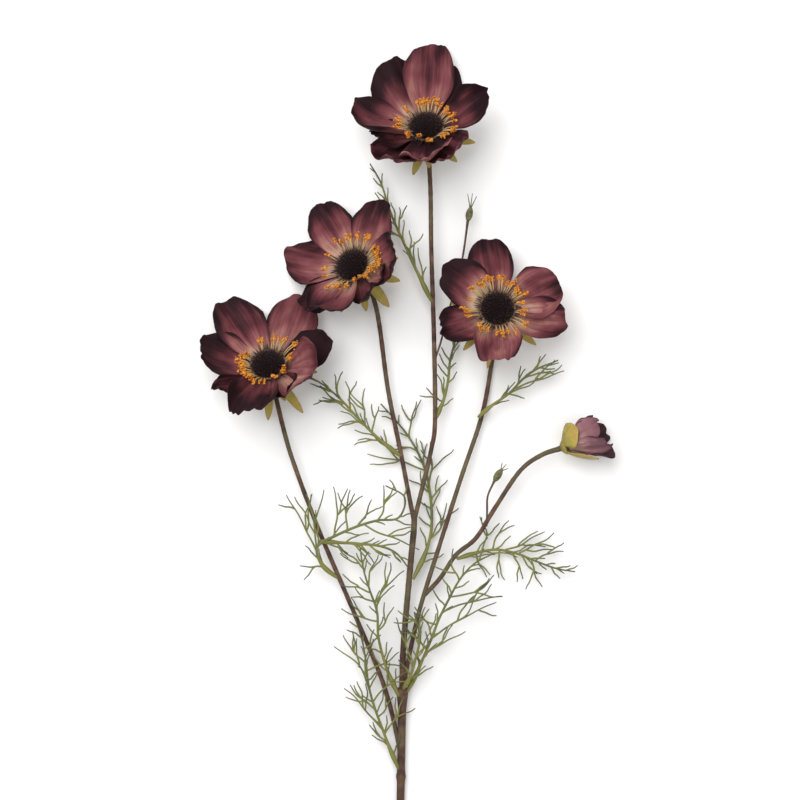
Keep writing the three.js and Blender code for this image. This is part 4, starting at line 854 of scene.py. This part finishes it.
# Each frond has midribs and, for each, rows of leaflets: place along the midrib, angle
# off it (left is positive), length, and bow to the side where it has one.
FRONDS = {
    "frond_1": (101, [
        ([(18.6, 322, 12.6), (15, 329, 14), (8, 341, 14), (1, 357, 12), (-5, 374, 10),
          (-10, 391, 9), (-17, 404, 9)],
         [(0.16, -55, 8), (0.2, -16, 19, -0.1), (0.33, -22, 15), (0.45, 20, 14, 0.1),
          (0.5, -20, 15, 0.1), (0.6, -8, 19), (0.7, 20, 10), (0.82, 22, 8)]),
    ]),
    "frond_2": (113, [
        ([(20.6, 251, 12), (24, 257, 11), (27, 264, 9), (29, 275, 8), (30, 286, 7),
          (32, 298, 5), (33, 310, 4)],
         [(0.2, 75, 13, 0.2), (0.25, 25, 12, 0.2), (0.45, 50, 10), (0.52, -45, 6),
          (0.6, 35, 10), (0.7, -25, 10), (0.8, 35, 9)]),
    ]),
    "frond_3": (127, [
        ([(47, 253, 8), (54, 259, 10), (60, 262, 11), (70, 272, 11), (79, 281, 11),
          (93, 288, 11)],
         [(0.28, 30, 10, 0.1), (0.38, -48, 10, 0.2), (0.45, -26, 32, 0.05), (0.5, 25, 12),
          (0.58, -22, 18), (0.72, 30, 10), (0.8, -30, 9)]),
    ]),
    "frond_4": (139, [
        ([(0, 230, 9.5), (-5, 235, 11), (-11, 240, 13), (-23, 251, 14), (-33, 262, 12),
          (-45, 271, 10), (-55, 276, 9)],
         [(0.15, -45, 9), (0.2, 42, 14, 0.2), (0.3, -55, 16), (0.38, -20, 22, -0.1),
          (0.42, 50, 14), (0.5, 18, 22), (0.56, -30, 17), (0.62, 18, 20, 0.1), (0.7, -32, 14),
          (0.8, 28, 12)]),
    ]),
    "frond_5": (151, [
        ([(8, 157, 10), (14, 170, 7), (17, 179, 5), (19, 191, 4), (18, 215, 3.5), (12, 232, 3),
          (3, 246, 4), (-10, 261, 5)],
         [(0.14, -55, 9), (0.22, -15, 24, -0.1), (0.28, 50, 10, -0.1), (0.37, 45, 10),
          (0.42, -40, 16, -0.1), (0.46, 50, 15), (0.5, -12, 26), (0.58, 55, 36),
          (0.6, -30, 14), (0.69, 45, 13, 0.1), (0.77, -40, 22), (0.88, 35, 9)]),
    ]),
    "frond_6": (163, [
        ([(-37, 157, 9.5), (-45, 164, 13), (-51, 173, 16), (-45, 181, 18), (-32, 186, 19),
          (-18, 192, 20), (-2, 192, 18), (4, 204, 16), (-8, 212, 15)],
         [(0.1, 40, 15), (0.17, 4, 42, -0.06), (0.22, -5, 36, 0.1), (0.25, 40, 20),
          (0.36, 70, 29, -0.1), (0.44, 60, 24), (0.5, 40, 18), (0.54, -45, 36),
          (0.62, 65, 21, -0.1), (0.72, -30, 11, -0.1), (0.88, -60, 8)]),
        ([(-47.5, 179.5, 17.4), (-39, 179, 16), (-22, 179, 15), (-6, 175, 15), (5, 163, 14)],
         [(0.08, -30, 14, -0.1), (0.2, -28, 24, 0.1), (0.42, 30, 9, 0.1), (0.5, -28, 15),
          (0.62, 30, 12), (0.75, -25, 9)]),
    ]),
    "frond_7": (179, [
        ([(-1, 87, 7.6), (-4, 95, 10), (-7, 105, 12), (-11, 124, 14), (-11, 133, 15),
          (-13, 142, 15), (-19, 159, 14), (-23, 176, 12)],
         [(0.3, 50, 9), (0.45, -40, 17), (0.51, 70, 23, 0.1), (0.56, -20, 19, -0.1),
          (0.63, -65, 26), (0.64, 60, 14), (0.7, 55, 18), (0.74, -30, 20, 0.1), (0.86, 35, 18),
          (0.88, -35, 9)]),
    ]),
    "frond_8": (191, [
        ([(-1, 43, 4.6), (-4, 50, 6), (-7, 57, 7.4), (-12, 74, 10), (-17, 94, 11),
          (-20, 117, 11), (-25, 134, 12)],
         [(0.17, 20, 16, 0.1), (0.24, -65, 24, 0.1), (0.27, 25, 34), (0.36, -60, 15),
          (0.41, 25, 21, 0.1), (0.46, -65, 28), (0.53, 25, 34, -0.1), (0.6, -60, 10),
          (0.66, -65, 22), (0.7, 28, 22), (0.8, -65, 13, 0.1), (0.87, 45, 10)]),
    ]),
    "frond_9": (199, [
        ([(4.2, 89, 6.6), (7.6, 96, 9), (14, 112, 14.5), (18, 123, 17), (24, 141, 18),
          (29, 149, 18), (35, 159, 18), (45, 168, 18), (54, 172, 17)],
         [(0.2, 50, 9), (0.26, -35, 28), (0.3, 70, 16, -0.1), (0.37, -40, 44),
          (0.38, 45, 14, 0.1), (0.46, 80, 15), (0.54, -50, 37), (0.58, 60, 12),
          (0.64, -35, 29, -0.1), (0.66, 55, 11), (0.75, 40, 19, 0.1), (0.8, -35, 10)]),
    ]),
    "frond_10": (211, [
        ([(34.4, 168.6, 9), (40, 171, 7), (49, 173, 6), (61, 175, 6), (72, 171, 7),
          (84, 165, 8), (93, 162, 9), (104, 160, 9)],
         [(0.16, -80, 16, 0.1), (0.21, 80, 21, -0.1), (0.3, 55, 20), (0.36, -85, 17, 0.1),
          (0.39, 32, 27), (0.47, -60, 17), (0.51, 50, 25), (0.54, -30, 15, -0.1),
          (0.63, -45, 18, -0.1), (0.66, 38, 18), (0.8, -35, 9), (0.84, 30, 9)]),
    ]),
    "frond_11": (223, [
        ([(2.2, 91.5, 9.4), (4.5, 97, 13), (7, 104, 16), (9, 118, 18), (10, 130, 18),
          (8, 138, 18)],
         [(0.2, 55, 12, 0.1), (0.35, 28, 30, 0.1), (0.48, -25, 13, -0.1), (0.6, 45, 14, 0.1),
          (0.76, -25, 15, -0.1), (0.85, 35, 14, 0.1)]),
    ]),
}

laid = []
cells = {}


def lay(route, radius, owner):
    """Notes balls along a thread, so that later threads bend over or under it."""
    for before, after in zip(route, route[1:]):
        steps = math.ceil((after - before).length / LAID_STEP)
        for k in range(steps):
            point = before.lerp(after, k / steps)
            cells.setdefault((point.x // CELL, point.y // CELL), []).append(len(laid))
            laid.append((point, radius, owner))


def balls_near(before, after):
    """The balls that a stretch of thread may meet, in the order they were laid."""
    columns, lines = (range(int(min(before[k], after[k]) // CELL) - 1,
                            int(max(before[k], after[k]) // CELL) + 2) for k in (0, 1))
    found = [k for x in columns for y in lines for k in cells.get((x, y), [])]
    return [laid[k] for k in sorted(found)]


def lift_past(before, after, radius, ball):
    """How far a stretch of thread has to rise or sink to pass a ball."""
    point, ball_radius, _ = ball
    along = (after - before).xy
    share = min(1, max(0, (point - before).xy.dot(along) / along.length_squared))
    near = before.lerp(after, share)
    reach = radius + ball_radius + BEND_AIR
    flat = (near - point).xy.length
    if flat >= reach:
        return 0
    need = math.sqrt(reach * reach - flat * flat)
    above = near.z - point.z
    if abs(above) >= need:
        return 0
    sinks = above < 0 and point.z - need > radius + TABLE_AIR
    return -need - above if sinks else need - above


def bend_clear(route, radius, owner, root):
    """Lifts or sinks a thread's points until it passes the balls of other owners."""
    near = [[ball for ball in balls_near(before, after)
             if ball[2] != owner and (root - ball[0]).length > ROOT_REACH]
            for before, after in zip(route, route[1:])]
    for _ in range(BEND_PASSES):
        for j, balls in enumerate(near):
            for ball in balls:
                lift = lift_past(route[j], route[j + 1], radius, ball)
                route[j + 1].z += lift
                if j > 0:
                    route[j].z += lift
    return route


def leaflet_route(route, place, angle, length, bow=0, lift=0):
    """The route of a leaflet that leaves another route. lift is how much higher its tip
    ends, as a share of its length."""
    fine = smooth_route(route, 0.8)
    k = min(len(fine) - 2, int(place * (len(fine) - 1)))
    start = fine[k].lerp(fine[k + 1], place * (len(fine) - 1) - k)
    ahead = (fine[k + 1] - fine[k]).normalized()
    heading = math.atan2(ahead.y, ahead.x) + math.radians(angle)
    out = Vector((math.cos(heading), math.sin(heading), 0))
    left = Vector((-out.y, out.x, 0))
    middle = start + out * (length / 2) + left * (bow * length)
    middle.z += lift * length * 0.3
    end = start + out * length
    end.z = max(THREAD_RADIUS, end.z + lift * length)
    return [start, middle, end]


def swayed(route, phase):
    """A smooth thread along a route that sways a little from side to side."""
    fine = smooth_route(route, SWAY_STEP)
    last = len(fine) - 1
    ahead = fine[-1] - fine[0]
    side = Vector((-ahead.y, ahead.x, 0)).normalized()
    sway = min(1, 0.05 * ahead.length)
    for j, place in enumerate(fine):
        bent = math.sin(4.4 * j / last + phase) + 0.3 * math.sin(11 * j / last + 2 * phase)
        place += side * (sway * (bent - math.sin(phase) - 0.3 * math.sin(2 * phase)))
        place.z = max(place.z, THREAD_RADIUS)
    return fine


def tapered(route, radius, tip):
    """Radii that thin toward a thread's tip. A midrib swells to a sheath near its root."""
    last = len(route) - 1
    middle, height, half = SHEATH
    if radius != MIDRIB_RADIUS:
        height = 0
    return [radius + (tip - radius) * (j / last) ** 2
            + height * math.exp(-((j / last - middle) / half) ** 2) for j in range(last + 1)]


# Thin moulded polyethylene, IOR 1.51, olive green, mottled, with dark grey-green points.
feather, add = start_material("moulded_polyethylene_olive_fronds")
share = add("Attribute", attribute_name="along")["Fac"]
spot = add("TexCoord")["Object"]
patch = add("TexNoise", {"Vector": spot, "Scale": 60, "Detail": 3})["Fac"]
patch_shift = add("MapRange", {"Value": patch, "From Min": 0.3, "From Max": 0.7,
                               "To Min": -0.4, "To Max": 0.4})["Result"]
ripeness = add("Math", {0: share, 1: patch_shift}, operation="ADD")[0]
green = add("ValToRGB", {"Fac": ripeness},
            stops=[(0, "#7a7838"), (1, "#4a4f37"), (0.5, "#676b32")])["Color"]
add("BsdfPrincipled", {"Base Color": green, "Roughness": 0.6, "IOR": 1.51})

for places, radius, _ in [*stalks, (MAIN_ROUTE, STEM_RADIUS, 0), *BRANCHES]:
    lay(smooth_route(places, LAID_STEM_STEP), radius, "stem")

for name, (seed, ribs) in FRONDS.items():
    draws = even_draws(seed)
    source = random.Random(seed)
    root = Vector(ribs[0][0][0])
    strands = []
    routes = []

    def strand(route, radius, tip):
        """Bends a thread clear, lets it sway and gives it back. The fronds that follow
        bend round it, unless it is a twig, which is too fine for that."""
        bent = bend_clear(smooth_route(route, THREAD_STEP), radius, name, root)
        if radius != TWIG_RADIUS:
            routes.append((bent, radius))
        fine = swayed(bent, source.uniform(0, 6))
        strands.append((fine, tapered(fine, radius, tip)))
        return fine

    twig_angles, twig_lengths = NARROW_TWIGS if name in NARROW else TWIGS
    for places, rows in ribs:
        midrib = strand(places, MIDRIB_RADIUS, MIDRIB_TIP)
        for k in range(len(rows)):
            place = (k + source.uniform(0.8, 1.2)) / (len(rows) + 1)
            angle = source.uniform(*twig_angles) * (1 if k % 2 else -1)
            length = source.uniform(*twig_lengths) * (1.1 - 0.7 * place)
            twig = leaflet_route(midrib, place, angle, length, 0.06)
            strand(twig, TWIG_RADIUS, THREAD_TIP)
        for row in rows:
            lift = -0.12 + 0.16 * next(draws)
            leaflet = leaflet_route(midrib, *row, lift=lift)
            leaflet = strand(leaflet, THREAD_RADIUS, THREAD_TIP)
            for k in range(min(2, row[2] // FORK_LENGTH)):
                place = 0.4 + 0.3 * k + 0.1 * next(draws)
                side = math.copysign(1, row[1]) * (1 if k % 2 else -1)
                angle = side * (28 + 14 * next(draws))
                length = 2.5 + row[2] * (1 - place) * (0.6 + 0.25 * next(draws))
                lift = -0.1 + 0.15 * next(draws)
                fork = leaflet_route(leaflet, place, angle, length, lift=lift)
                strand(fork, THREAD_RADIUS, THREAD_TIP)
            if row[2] > 12:
                place = source.uniform(0.2, 0.55)
                angle = source.uniform(20, 34) * source.choice((-1, 1))
                length = 4 + row[2] * (1 - place) * source.uniform(0.6, 0.85)
                bow = math.copysign(0.1, -angle)
                twig = leaflet_route(leaflet, place, angle, length, bow)
                strand(twig, TWIG_RADIUS, THREAD_TIP)
    for route, radius in routes:
        lay(route, radius, name)
    hold = min(stem_places, key=lambda place: (place - root).length)
    midrib, radii = strands[0]
    strands[0] = ([hold, *midrib], [0.5, *radii])
    frond = threads(name + "_threads", strands, THREAD_SIDES, feather)
    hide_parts(name)


# ---- The table, the light and the camera ----
# A white table top, a wide soft lamp above on the left and a pale room. The camera looks
# straight down from 1.13 m through an 85 mm lens, so that a pixel is 0.6 mm on the table.

TABLE_HALF = 3
CAMERA_HEIGHT = 1.133
VIEW_MIDDLE = (0, 263, 0)  # what the middle of the photograph shows
LAMPS_AIM = Vector((0, 0.05, 0))
LAMPS = [("lamp_key", (-0.45, 0.65, 1.5), 1.3, 26), ("lamp_fill", (0.8, -0.4, 1.5), 1.6, 7)]

# White lacquer, sprayed on the table: an even, pale ground with little gloss.
paint, add = start_material("white_table_lacquer")
add("BsdfPrincipled", {"Base Color": linear("#f4f3f2"), "Roughness": 0.6})
work = bmesh.new()
bmesh.ops.create_grid(work, x_segments=1, y_segments=1, size=TABLE_HALF)
placed("table_top", work, paint)

scene = bpy.context.scene
world = bpy.data.worlds.new("pale_room")
world.use_nodes = True
glow = world.node_tree.nodes["Background"].inputs
glow["Color"].default_value = linear("#ffffff")
glow["Strength"].default_value = 0.5
scene.world = world
scene.view_settings.view_transform = "Standard"

for name, place, size, power in LAMPS:
    lamp = bpy.data.lights.new(name, "AREA")
    lamp.size = size
    lamp.energy = power
    holder = bpy.data.objects.new(name, lamp)
    holder.location = place
    holder.rotation_euler = (LAMPS_AIM - Vector(place)).to_track_quat("-Z", "Y").to_euler()
    holder.visible_camera = False
    scene.collection.objects.link(holder)

lens = bpy.data.cameras.new("camera")
lens.lens = 85
lens.sensor_width = 36
camera = bpy.data.objects.new("camera", lens)
camera.location = in_frame(VIEW_MIDDLE) + UP * CAMERA_HEIGHT
scene.collection.objects.link(camera)
scene.camera = camera
